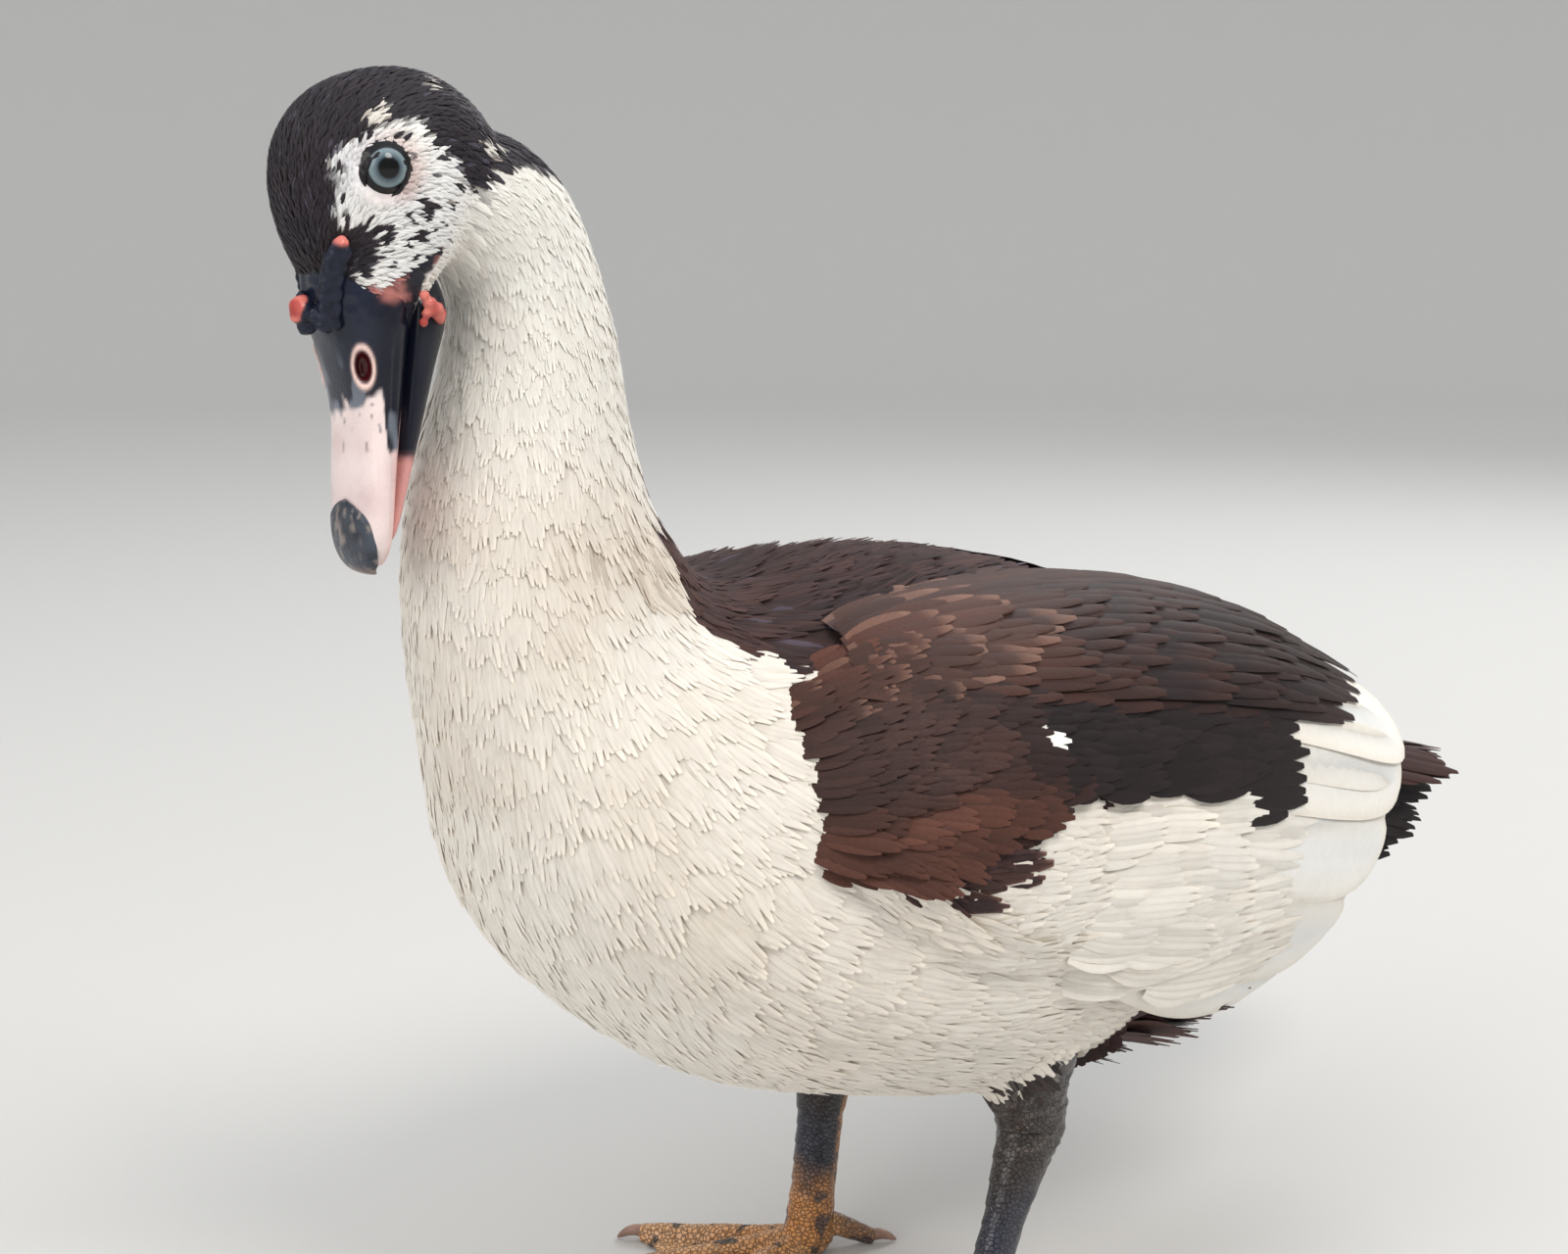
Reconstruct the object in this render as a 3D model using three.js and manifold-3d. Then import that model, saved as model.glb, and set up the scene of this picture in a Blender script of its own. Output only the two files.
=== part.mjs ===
// A life-size muscovy duck, pied brown and white, standing with its bill held straight down.
// Millimetres, +Z up. The bird faces -Y, so its left side is +X.
import * as THREE from "three";
import { mergeVertices } from "three/addons/utils/BufferGeometryUtils.js";
import Module from "manifold-3d";

const wasm = await Module();
wasm.setup();

// Driving dimensions
const GAP = 0.3; // between meshes that touch
const HEAD_CENTRE = [6, 155, 333]; // left, ahead and up, midway between the eyes
const HEAD_PITCH = 62; // degrees that the skull's own line points below level
const BILL_PITCH = 25; // degrees that the bill bends down from that line
const BILL_LENGTH = 62;
const BILL_HALF_WIDTH = 11.5;
const EYE_RADIUS = 7.4;
const TOE_LENGTH = 68;
const WEB_THICKNESS = 1.6;
const FLOOR = 9; // height of the floor that the feet stand on

// Material colours
const COLOURS = {
  white: "#e9e2d8",
  brown: "#4a2a20",
  black: "#241d1c",
  bill: "#39384a",
  pink: "#dcb7ae",
  nail: "#3c4048",
  red: "#d8625a",
  eye: "#6f8a92",
  leg: "#3d3a3e",
  foot: "#d9a872",
  claw: "#8d7468",
};

// Tables of sections

// Each row of the trunk: ahead, centre height, half width, rise above the centre and drop below it.
const TRUNK = [
  [-198, 167, 4, 4, 4],
  [-190, 165, 19, 13, 17],
  [-168, 163, 37, 28, 34],
  [-138, 160, 53, 43, 54],
  [-100, 153, 66, 61, 64],
  [-55, 150, 74, 76, 70],
  [-10, 151, 77, 86, 73],
  [35, 156, 77, 84, 67],
  [75, 165, 72, 75, 63],
  [103, 177, 60, 63, 56],
  [125, 190, 43, 48, 46],
  [137, 198, 24, 28, 28],
  [141, 200, 5, 5, 5],
];

// Each row of the neck: left, ahead, up, half width, reach to the front and reach to the back.
const NECK = [
  [0, 84, 175, 30, 24, 24],
  [0, 94, 196, 48, 44, 38],
  [1, 107, 222, 39, 41, 39],
  [2, 115, 248, 31, 35, 32],
  [3, 117, 272, 26, 28, 27],
  [4, 117, 294, 22.5, 22.5, 23],
  [5, 121, 313, 20, 19, 21],
  [6, 131, 326, 19, 18, 21],
  [6, 143, 332, 17, 15, 15],
  [6, 150, 333, 4, 4, 4],
];

// Each row of the head, in its own frame: ahead of the eyes, centre height, half width, rise and drop.
const HEAD = [
  [-25, -2, 2, 2, 2],
  [-23.5, -2, 9, 9, 10],
  [-18.5, -1, 15.5, 16, 19],
  [-10, 0, 19, 22.5, 22.5],
  [-1, 0, 19.5, 25.5, 22],
  [8, -0.5, 18, 25.5, 20.5],
  [17, -1.5, 15.5, 22, 18],
  [25, -4, 13.3, 16, 16],
  [31, -8, 11, 9, 12],
  [33, -9, 3, 3, 3],
];

// Each row of the wing's own shell, at the level of the flight feathers: as the trunk's rows.
const WING_SHELL = [
  [-250, 140, 14, 12, 22],
  [-200, 147, 40, 29, 44],
  [-150, 153, 63, 47, 66],
  [-100, 157, 76, 64, 78],
  [-50, 159, 80, 74, 82],
  [0, 161, 82, 75, 80],
  [40, 166, 81, 69, 80],
  [80, 172, 74, 60, 76],
  [108, 180, 60, 50, 66],
  [130, 186, 43, 38, 48],
];

// Points, curves and solids

// A point from how far it lies to the bird's left, ahead and up.
const at = (left, ahead, up) => new THREE.Vector3(left, -ahead, up);

const radians = THREE.MathUtils.degToRad;
const mix = THREE.MathUtils.lerp;

// The row of a table at a share of its length, on a smooth curve through all its rows.
function rowAt(table, share) {
  const place = THREE.MathUtils.clamp(share, 0, 1) * (table.length - 1);
  const i = Math.min(Math.floor(place), table.length - 2);
  const t = place - i;
  const row = (k) => table[THREE.MathUtils.clamp(k, 0, table.length - 1)];
  return table[i].map((p1, k) => {
    const p0 = row(i - 1)[k];
    const p2 = row(i + 1)[k];
    const p3 = row(i + 2)[k];
    const bend = (2 * p0 - 5 * p1 + 4 * p2 - p3) * t * t;
    const twist = (3 * p1 - p0 - 3 * p2 + p3) * t * t * t;
    return (2 * p1 + (p2 - p0) * t + bend + twist) / 2;
  });
}

// The row of a table whose first number has the given value.
function rowWhere(table, value) {
  let low = 0;
  let high = 1;
  for (let step = 0; step < 30; step++) {
    const middle = (low + high) / 2;
    if (rowAt(table, middle)[0] < value) low = middle;
    else high = middle;
  }
  return rowAt(table, low);
}

// A closed solid from points and triangles, turned to face out.
function solid(points, faces) {
  const properties = new Float32Array(points.flatMap((p) => [p.x, p.y, p.z]));
  let volume = 0;
  for (let i = 0; i < faces.length; i += 3) {
    const [a, b, c] = faces.slice(i, i + 3).map((k) => points[k]);
    volume += a.dot(b.clone().cross(c));
  }
  const triangles = new Uint32Array(faces);
  if (volume < 0)
    for (let i = 0; i < faces.length; i += 3)
      [triangles[i + 1], triangles[i + 2]] = [faces[i + 2], faces[i + 1]];
  return new wasm.Manifold(
    new wasm.Mesh({ numProp: 3, vertProperties: properties, triVerts: triangles }),
  );
}

// A three.js geometry as a solid.
function solidOf(geometry) {
  const bare = geometry.clone();
  bare.deleteAttribute("normal");
  bare.deleteAttribute("uv");
  const merged = mergeVertices(bare, 1e-4);
  const spots = merged.attributes.position;
  const points = Array.from({ length: spots.count }, (_, i) =>
    new THREE.Vector3().fromBufferAttribute(spots, i),
  );
  return solid(points, Array.from(merged.index.array));
}

// A closed solid through rings of points, each end fanned in to the middle of its ring.
function skin(rings) {
  const count = rings[0].length;
  const middle = (ring) =>
    ring.reduce((sum, p) => sum.add(p), new THREE.Vector3()).divideScalar(count);
  const points = [...rings.flat(), middle(rings[0]), middle(rings.at(-1))];
  const last = (rings.length - 1) * count;
  const faces = [];
  for (let k = 0; k < count; k++) {
    const next = (k + 1) % count;
    for (let start = 0; start < last; start += count) {
      faces.push(start + k, start + next, start + count + next);
      faces.push(start + k, start + count + next, start + count + k);
    }
    faces.push(points.length - 2, next, k);
    faces.push(points.length - 1, last + k, last + next);
  }
  return solid(points, faces);
}

// A closed sheet between two grids of points, with the same triangles on both faces.
function sheet(top, bottom) {
  const rows = top.length;
  const columns = top[0].length;
  const under = rows * columns;
  const faces = [];
  const rim = (a, b) => faces.push(a, b, b + under, a, b + under, a + under);
  for (let r = 0; r + 1 < rows; r++)
    for (let c = 0; c + 1 < columns; c++) {
      const a = r * columns + c;
      const d = a + columns;
      faces.push(a, a + 1, d + 1, a, d + 1, d);
      faces.push(under + a, under + d + 1, under + a + 1);
      faces.push(under + a, under + d, under + d + 1);
    }
  for (let c = 0; c + 1 < columns; c++) {
    rim(c + 1, c);
    rim((rows - 1) * columns + c, (rows - 1) * columns + c + 1);
  }
  for (let r = 0; r + 1 < rows; r++) {
    rim(r * columns, (r + 1) * columns);
    rim((r + 2) * columns - 1, (r + 1) * columns - 1);
  }
  return solid([...top.flat(), ...bottom.flat()], faces);
}

// One side of a rounded section: squareness 2 is an ellipse, and more is fuller at the corners.
const bulge = (value, squareness) =>
  Math.sign(value) * Math.abs(value) ** (2 / squareness);

// A body through upright sections, from a table of ahead, centre, half width, rise and drop.
function trunkForm(table, { around, along, grow = 0, squareness = 2.2 }) {
  const rings = [];
  for (let i = 0; i <= along; i++) {
    const [ahead, centre, half, rise, drop] = rowAt(table, i / along);
    const stretch = grow * (2 * (i / along) - 1);
    rings.push(
      Array.from({ length: around }, (_, k) => {
        const turn = (2 * Math.PI * k) / around;
        const up = Math.cos(turn) > 0 ? rise + grow : drop + grow;
        return at(
          (half + grow) * bulge(Math.sin(turn), squareness),
          ahead + stretch,
          centre + up * bulge(Math.cos(turn), squareness),
        );
      }),
    );
  }
  return skin(rings);
}

// A body through sections square to its own line, from a table of left, ahead, up,
// half width, reach to the front and reach to the back.
function neckForm(table, { around, along, grow = 0 }) {
  const spot = (share) => at(...rowAt(table, share).slice(0, 3));
  const rings = [];
  for (let i = 0; i <= along; i++) {
    const share = i / along;
    const row = rowAt(table, share);
    const [half, front, back] = row.slice(3).map((reach) => reach + grow);
    const line = spot(share + 0.01).sub(spot(share - 0.01)).normalize();
    const side = new THREE.Vector3(1, 0, 0).addScaledVector(line, -line.x).normalize();
    const face = new THREE.Vector3().crossVectors(side, line).normalize();
    const centre = spot(share).addScaledVector(line, grow * (2 * share - 1));
    rings.push(
      Array.from({ length: around }, (_, k) => {
        const turn = (2 * Math.PI * k) / around;
        const reach = Math.cos(turn) > 0 ? back : front;
        return centre
          .clone()
          .addScaledVector(side, half * Math.sin(turn))
          .addScaledVector(face, -reach * Math.cos(turn));
      }),
    );
  }
  return skin(rings);
}

const ball = (radius, centre, stretch = [1, 1, 1], detail = [14, 10]) =>
  solidOf(
    new THREE.SphereGeometry(radius, ...detail)
      .scale(...stretch)
      .translate(centre.x, centre.y, centre.z),
  );

// Everything between two heights.
const slab = (low, high) =>
  solidOf(new THREE.BoxGeometry(400, 600, high - low).translate(0, 0, (low + high) / 2));

const union = (solids) => wasm.Manifold.union(solids);

// The largest closed surface of a solid.
function largest(made) {
  const pieces = made.decompose();
  return pieces.reduce((a, b) => (b.volume() > a.volume() ? b : a));
}

// The mirror image across the bird's middle.
const mirrored = (made) => made.mirror([1, 0, 0]);

// A solid as a geometry, in the frame of the group whose matrix is given.
function geometryOf(made, frame = new THREE.Matrix4()) {
  const mesh = made.getMesh();
  const geometry = new THREE.BufferGeometry();
  const spots = new Float32Array(mesh.numVert * 3);
  for (let i = 0; i < mesh.numVert; i++)
    for (let k = 0; k < 3; k++)
      spots[3 * i + k] = mesh.vertProperties[i * mesh.numProp + k];
  geometry.setAttribute("position", new THREE.BufferAttribute(spots, 3));
  geometry.setIndex(new THREE.BufferAttribute(mesh.triVerts, 1));
  geometry.applyMatrix4(frame.clone().invert());
  geometry.computeVertexNormals();
  return geometry;
}

const duck = new THREE.Group();

function add(name, made, colour, group = duck, roughness = 0.8) {
  group.updateMatrixWorld(true);
  const material = new THREE.MeshStandardMaterial({ color: COLOURS[colour], roughness });
  const mesh = new THREE.Mesh(geometryOf(largest(made), group.matrixWorld), material);
  mesh.name = name;
  group.add(mesh);
}

// Trunk

const trunkSolid = (grow = 0) => trunkForm(TRUNK, { around: 24, along: 20, grow });
const trunk = trunkSolid();
const trunkClear = trunkSolid(GAP);

// Head, in its own frame: the bill points ahead, and the eyes are level with the origin

const headGroup = new THREE.Group();
headGroup.position.copy(at(...HEAD_CENTRE));
headGroup.rotation.x = radians(HEAD_PITCH);
duck.add(headGroup);
headGroup.updateMatrixWorld(true);
const toBody = (made) => made.transform(headGroup.matrixWorld.elements.slice());

const headForm = (grow = 0) =>
  trunkForm(HEAD, { around: 18, along: 12, grow, squareness: 2.2 });

// Eyes and lids

const EYE = { side: 12.4, ahead: 2, up: 7.5 };
const EYE_LOOK = [1, 0.36, 0.14]; // left, ahead and up of the way that the left eye looks
const LID = { opening: 5.6, thickness: 1.5, stretch: 1.16, stand: 5 };
const eyeCentre = at(EYE.side, EYE.ahead, EYE.up);
const eyeLook = at(...EYE_LOOK).normalize();
const eyeBall = (grow = 0) => ball(EYE_RADIUS + grow, eyeCentre, [1, 1, 1], [12, 8]);

// A geometry that faces +Z, turned to face another way and set at a point.
const faced = (geometry, look, centre) =>
  solidOf(
    geometry
      .applyQuaternion(
        new THREE.Quaternion().setFromUnitVectors(new THREE.Vector3(0, 0, 1), look),
      )
      .translate(...centre.toArray()),
  );

// The lids: a thick oval rim round the opening, sunk in the face and clear of the eye.
const lids = faced(
  new THREE.TorusGeometry(LID.opening, LID.thickness, 5, 11).scale(LID.stretch, 1, 1),
  eyeLook,
  eyeCentre.clone().addScaledVector(eyeLook, LID.stand),
);

// The bill, in a frame of its own at its root

const billGroup = new THREE.Group();
billGroup.position.copy(at(0, 24, -5));
billGroup.rotation.x = radians(BILL_PITCH);
headGroup.add(billGroup);
billGroup.updateMatrixWorld(true);
const billToBody = (made) => made.transform(billGroup.matrixWorld.elements.slice());
const billToHead = (made) => made.transform(billGroup.matrix.elements.slice());

// Each row of the upper bill, ahead of its root: as the trunk's rows.
const UPPER_BILL = [
  [-3, 0, 12, 12.4, 9.5],
  [0.08 * BILL_LENGTH, 0, 12.3, 11.4, 9.5],
  [0.26 * BILL_LENGTH, -0.6, 11.6, 7.4, 8],
  [0.46 * BILL_LENGTH, -1.2, 11, 4.6, 6.2],
  [0.7 * BILL_LENGTH, -1.4, BILL_HALF_WIDTH, 4.2, 4.2],
  [0.88 * BILL_LENGTH, -1.8, 0.92 * BILL_HALF_WIDTH, 4, 3.2],
  [0.97 * BILL_LENGTH, -2.6, 0.55 * BILL_HALF_WIDTH, 3, 2.6],
  [BILL_LENGTH, -3.2, 2, 1, 1],
];

// Each row of the lower bill, alike. It lies just inside the edge of the upper one.
const LOWER_BILL = [
  [-3, -10, 11.8, 3, 12],
  [0.08 * BILL_LENGTH, -10, 11.5, 3, 10],
  [0.3 * BILL_LENGTH, -9.4, 10.2, 3, 6.8],
  [0.6 * BILL_LENGTH, -7.4, 9.4, 2, 4],
  [0.86 * BILL_LENGTH, -5.2, 8, 2, 1.8],
  [0.93 * BILL_LENGTH, -5, 2, 1, 1],
];
const NOSTRIL = { left: 5.8, ahead: 0.31 * BILL_LENGTH, up: 5.2, wide: 2, long: 4.2 };
const NAIL = { ahead: 0.88 * BILL_LENGTH, up: 0, wide: 5.6, long: 9, high: 3.4, bed: 0.4 };

const upperBill = (grow = 0) =>
  trunkForm(UPPER_BILL, { around: 16, along: 9, grow, squareness: 2.5 });
const lowerBill = (grow = 0) =>
  trunkForm(LOWER_BILL, { around: 12, along: 7, grow, squareness: 2.3 });
const nailForm = (grow = 0) =>
  ball(1, at(0, NAIL.ahead, NAIL.up), [NAIL.wide + grow, NAIL.long + grow, NAIL.high + grow], [12, 8])
    .intersect(slab(NAIL.bed - grow, 100));

// A nostril: a raised oval rim on the left side of the bill, round a pit.
const nostrilCentre = at(NOSTRIL.left, NOSTRIL.ahead, NOSTRIL.up);
const nostrilLook = at(0.72, 0.1, 0.69).normalize();
const nostrilRim = faced(
  new THREE.TorusGeometry(1, 0.3, 4, 9).scale(NOSTRIL.wide, NOSTRIL.long, 4),
  nostrilLook,
  nostrilCentre,
);
const nostrilPit = faced(
  new THREE.SphereGeometry(0.78, 7, 4).scale(NOSTRIL.wide, NOSTRIL.long, 4.5),
  nostrilLook,
  nostrilCentre,
);
const upper = union([upperBill(), nostrilRim, mirrored(nostrilRim)])
  .subtract(union([nostrilPit, mirrored(nostrilPit)]))
  .subtract(nailForm(GAP));
const lower = lowerBill().subtract(upperBill(GAP));
const headClear = headForm(GAP);
add("bill_upper", billToBody(upper).subtract(toBody(headClear)), "bill", billGroup);
add("bill_lower", billToBody(lower).subtract(toBody(headClear)), "bill", billGroup);
add("bill_nail", billToBody(nailForm()), "nail", billGroup);

// Caruncles: bulbs over the bill's root, a beaded ridge up to each eye and a fold at the gape.
// Each row is left, ahead and up in the head's frame, and a radius.
const BULBS = [
  [6.5, 27.5, 12, 3.8],
  [-7.5, 26, 13, 4.6],
  [1, 29, 13, 3.4],
  [-2.6, 23, 16, 3.4],
];
const RIDGE = { from: [14, 13, 11, 1.9], to: [9.6, 31, 8.5, 3], beads: 4 };
const FOLD = { from: [14.6, 20, -12, 2.4], to: [12.2, 31, -15, 3.2], beads: 3 };
const WAIST = 0.66; // of a bead's radius, between it and the next

function beadRow({ from, to, beads }) {
  const rows = [];
  for (let i = 0; i <= 2 * beads; i++) {
    const [left, ahead, up, radius] = from.map((value, k) => mix(value, to[k], i / (2 * beads)));
    const girth = radius * (i % 2 ? 1 : WAIST);
    rows.push([left, ahead, up, girth, girth, girth]);
  }
  return neckForm(rows, { around: 6, along: rows.length - 1 });
}
const bulbs = BULBS.map(([left, ahead, up, radius]) =>
  ball(radius, at(left, ahead, up), [1, 1.2, 1], [7, 5]),
);
const beaded = [beadRow(RIDGE), beadRow(FOLD)];
const caruncles = [...bulbs, ...beaded, ...beaded.map(mirrored)];
const billClear = billToHead(union([upperBill(GAP), lowerBill(GAP)]));
const head = union([
  headForm(),
  lids,
  mirrored(lids),
  union(caruncles).subtract(billClear),
]).subtract(union([eyeBall(GAP), mirrored(eyeBall(GAP))]));
add("head", toBody(head), "white", headGroup);
add("eye_left", toBody(eyeBall()), "eye", headGroup, 0.1);
add("eye_right", toBody(mirrored(eyeBall())), "eye", headGroup, 0.1);

// Neck

const NECK_SPLIT = 268; // height of the cut between the two lengths of the neck
const neckWhole = neckForm(NECK, { around: 16, along: 14 })
  .subtract(trunkClear)
  .subtract(toBody(union([headClear, billClear])));
add("neck_lower", neckWhole.intersect(slab(0, NECK_SPLIT)), "white");
add("neck_upper", neckWhole.intersect(slab(NECK_SPLIT + GAP, 400)), "white");

// Vanes on the wing's shell

const SHELL_SQUARENESS = 2.2;
const VANE_THICKNESS = 0.6;
const VANE_TILT = 1; // rise of a vane's lower edge, and drop of its upper one
const UNEVEN = 2; // how far the tips of a tier stray from their line
const ROOT_SINK = 2.5; // how much deeper than the rest a vane's root lies

// Shares of a vane's length, each with how broad it is there, of its full width.
const SHORT_VANE = [
  [0, 0.55],
  [0.5, 1],
  [0.88, 0.86],
  [1, 0.36],
];
const LONG_VANE = [
  [0, 0.5],
  [0.32, 0.88],
  [0.66, 1],
  [0.92, 0.82],
  [1, 0.34],
];

// A point on the shell: how far ahead, degrees down from the top of the back, and lift off it.
function onShell(ahead, angle, lift) {
  const [, centre, half, rise, drop] = rowWhere(WING_SHELL, ahead);
  const turn = radians(angle);
  const reach = Math.cos(turn) > 0 ? rise : drop;
  return at(
    (half + lift) * bulge(Math.sin(turn), SHELL_SQUARENESS),
    ahead,
    centre + (reach + lift) * bulge(Math.cos(turn), SHELL_SQUARENESS),
  );
}

// A plate on the shell, from rows of ahead, upper angle, lower angle, top lift and bottom lift.
// The edges say at which shares of its breadth it has points, and how much of its lift each has.
function shellPlate(rows, edges, edgeLift) {
  const grid = (side) =>
    rows.map(([ahead, first, last, ...lifts]) =>
      edges.map(([share, full]) =>
        onShell(ahead, mix(first, last, share), side ? lifts[1] : mix(edgeLift, lifts[0], full)),
      ),
    );
  return sheet(grid(0), grid(1));
}

// One feather, from its root to its tip, each given as how far ahead and the angle.
function vane({ root, tip, width, lift, shape, tilt = VANE_TILT }) {
  const rows = shape.map(([share, breadth]) => {
    const ahead = mix(root[0], tip[0], share);
    const angle = mix(root[1], tip[1], share);
    const perDegree = onShell(ahead, angle, 0).distanceTo(onShell(ahead, angle + 1, 0));
    const spread = (0.5 * width * breadth) / perDegree;
    const level = share ? lift : lift - ROOT_SINK;
    return [-1, 0, 1].map((edge) => [
      ahead,
      angle + edge * spread,
      level + edge * breadth * tilt,
    ]);
  });
  const grid = (side) =>
    rows.map((row) =>
      row.map(([ahead, angle, level]) => onShell(ahead, angle, level + side * VANE_THICKNESS * 0.5)),
    );
  return sheet(grid(1), grid(-1));
}

// A tier of feathers side by side. Their tips lie on a line that is bowed to the rear, and each
// can lie a step lower than the one before.
function tier({ count, rootFrom, rootTo, tipFrom, tipTo, lift, bow = 0, step = 0, ...rest }) {
  return Array.from({ length: count }, (_, i) => {
    const share = i / (count - 1);
    const between = (from, to) => from.map((value, k) => mix(value, to[k], share));
    const [tipAhead, tipAngle] = between(tipFrom, tipTo);
    const uneven = UNEVEN * Math.sin(5 * i + count);
    const tip = [tipAhead - bow * 4 * share * (1 - share) + uneven, tipAngle];
    return vane({ root: between(rootFrom, rootTo), tip, lift: lift - step * i, ...rest });
  });
}

// Wings

// Each row of the wing's pad: ahead, upper and lower angle, top and bottom lift.
const PAD = [
  [78, 44, 78, -4, -18],
  [70, 38, 90, 2, -18],
  [58, 34, 97, 6.5, -18],
  [44, 31, 103, 7.8, -18],
  [22, 26, 109, 5.8, -18],
  [-5, 19, 112, 3, -18],
  [-30, 14, 114, 0.3, -18],
];
const ROUND_EDGES = [
  [0, 0],
  [0.08, 0.85],
  [0.3, 1],
  [0.5, 1],
  [0.7, 1],
  [0.92, 0.85],
  [1, 0],
];
const EDGE_LIFT = -6;
const COVERTS = [
  {
    count: 6,
    rootFrom: [8, 52],
    rootTo: [0, 104],
    tipFrom: [-108, 66],
    tipTo: [-62, 113],
    bow: 8,
    width: 19,
    lift: 2.8,
    shape: SHORT_VANE,
  },
  {
    count: 6,
    rootFrom: [34, 48],
    rootTo: [24, 99],
    tipFrom: [-58, 60],
    tipTo: [-34, 106],
    width: 18.5,
    lift: 5.6,
    shape: SHORT_VANE,
  },
];
const SCAPULARS = [
  {
    count: 4,
    rootFrom: [-2, 24],
    rootTo: [6, 48],
    tipFrom: [-180, 33],
    tipTo: [-136, 62],
    width: 20,
    lift: 5.6,
    shape: LONG_VANE,
  },
  {
    count: 4,
    rootFrom: [12, 29],
    rootTo: [32, 49],
    tipFrom: [-92, 21],
    tipTo: [-62, 55],
    width: 19,
    lift: 7.9,
    shape: SHORT_VANE,
  },
];
const pad = shellPlate(PAD, ROUND_EDGES, EDGE_LIFT).subtract(trunkClear);
const wing = union([pad, ...COVERTS.flatMap(tier), ...SCAPULARS.flatMap(tier)]);

// Flight feathers: a bar that roots them between the trunk and the shell, the secondaries, and
// the primaries, which lie under them and run up and back over the rump.
const BAR = [
  [-30.3, 18, 116, -1.2, -18],
  [-55, 18, 118, -1.4, -18],
  [-84, 20, 118, -4.5, -18],
];
const SECONDARIES = {
  count: 7,
  rootFrom: [-42, 56],
  rootTo: [-36, 110],
  tipFrom: [-190, 68],
  tipTo: [-118, 134],
  bow: 4,
  width: 26,
  lift: 0,
  shape: LONG_VANE,
};
const PRIMARIES = {
  count: 3,
  rootFrom: [-60, 48],
  rootTo: [-64, 66],
  tipFrom: [-215, 36],
  tipTo: [-203, 60],
  width: 18,
  lift: -2.6,
  step: 1,
  tilt: 0,
  shape: LONG_VANE,
};
const bar = shellPlate(BAR, ROUND_EDGES, EDGE_LIFT);
const flight = union([bar, ...tier(SECONDARIES), ...tier(PRIMARIES)])
  .subtract(trunkClear);

const wingSides = [
  ["left", (made) => made],
  ["right", mirrored],
];
for (const [side, turned] of wingSides) {
  add(`wing_${side}`, turned(wing), "brown");
  add(`flight_${side}`, turned(flight), "white");
}

// Tail

// Each row of the tail's core: as the trunk's rows.
const TAIL_CORE = [
  [-184, 163, 17, 10, 14],
  [-202, 158, 20, 9, 12],
  [-222, 149, 17, 6, 8],
  [-238, 142, 11, 3, 4],
];
const PAIRS = 5;
const TAIL_STEP = 0.95; // how much lower each outer feather lies
const RECTRIX = { root: [1.5, -206, 157], tip: [5, -268, 132], width: 17 };
const COVERT_PAIRS = [
  { root: [-196, 163], tip: [-238, 148], width: 17, aside: 1, spread: 12, tuck: 6 },
  { root: [-190, 150], tip: [-236, 122], width: 17, aside: 1, spread: 13, tuck: 7 },
];

// A flat feather from a root to a tip, each left, ahead and up.
function flatVane({ root, tip, width }) {
  const grid = (side) =>
    SHORT_VANE.map(([share, breadth]) => {
      const [left, ahead, up] = root.map((value, k) => mix(value, tip[k], share));
      return [-1, 0, 1].map((edge) =>
        at(left + 0.5 * edge * breadth * width, ahead, up + 0.5 * side * VANE_THICKNESS),
      );
    });
  return sheet(grid(1), grid(-1));
}

const tailVanes = [];
for (let i = 0; i < PAIRS; i++)
  for (const side of [1, -1]) {
    const drop = TAIL_STEP * (i + (side < 0 ? 1 : 0));
    const root = [side * (RECTRIX.root[0] + 2.4 * i), RECTRIX.root[1], RECTRIX.root[2] - drop];
    const tip = [
      side * (RECTRIX.tip[0] + 7.6 * i),
      RECTRIX.tip[1] + 1.3 * i * i,
      RECTRIX.tip[2] - drop,
    ];
    tailVanes.push(flatVane({ root, tip, width: RECTRIX.width }));
  }
for (const { root, tip, width, aside, spread, tuck } of COVERT_PAIRS)
  for (let i = -aside; i <= aside; i++) {
    const lower = TAIL_STEP * Math.abs(i);
    tailVanes.push(
      flatVane({
        root: [0.8 * i * spread, root[0], root[1] - lower],
        tip: [i * spread, tip[0] + Math.abs(i) * tuck, tip[1] - lower],
        width,
      }),
    );
  }
const tailCore = trunkForm(TAIL_CORE, { around: 12, along: 4 });
add("tail", union([tailCore, ...tailVanes]).subtract(trunkClear), "brown");

add("torso", trunk, "white");

// Legs and feet

const TOES = [
  { name: "inner", turn: -27, length: 0.74 * TOE_LENGTH, thick: 3.9 },
  { name: "middle", turn: 0, length: TOE_LENGTH, thick: 4.3 },
  { name: "outer", turn: 25, length: 0.92 * TOE_LENGTH, thick: 3.9 },
];
const HIND_TOE = { name: "hind", turn: 186, length: 0.44 * TOE_LENGTH, thick: 3.4, up: 21 };
const KNUCKLE = { radius: 7.4, up: FLOOR + 5.6 };
const CLAW = { length: 9, radius: 2.1 };
const TOE = { scutes: 4, step: 0.09, droop: 0.6 }; // the step is a share of the toe's girth

// The shank's girth: share of its height, half width and reach to the front and back.
const SHANK = {
  scutes: 6,
  step: 0.7,
  girth: [
    [0, 6.4, 6.4],
    [0.25, 5.2, 5.8],
    [0.6, 5.2, 6.2],
    [0.88, 7.2, 8.2],
    [1, 8.4, 9.4],
  ],
};

// Each leg: the hock and the knuckle of the toes, and how far the foot is turned out.
const LEGS = [
  { side: "left", sign: 1, hock: [42, -20, 76], knuckle: [45, 8], turnedOut: 8 },
  { side: "right", sign: -1, hock: [42, -18, 78], knuckle: [42, -10], turnedOut: 22 },
];

// All of a leg is made for the left side, in the body's frame, and turned over for the right.
const aboveFloor = slab(FLOOR, 400);

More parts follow.
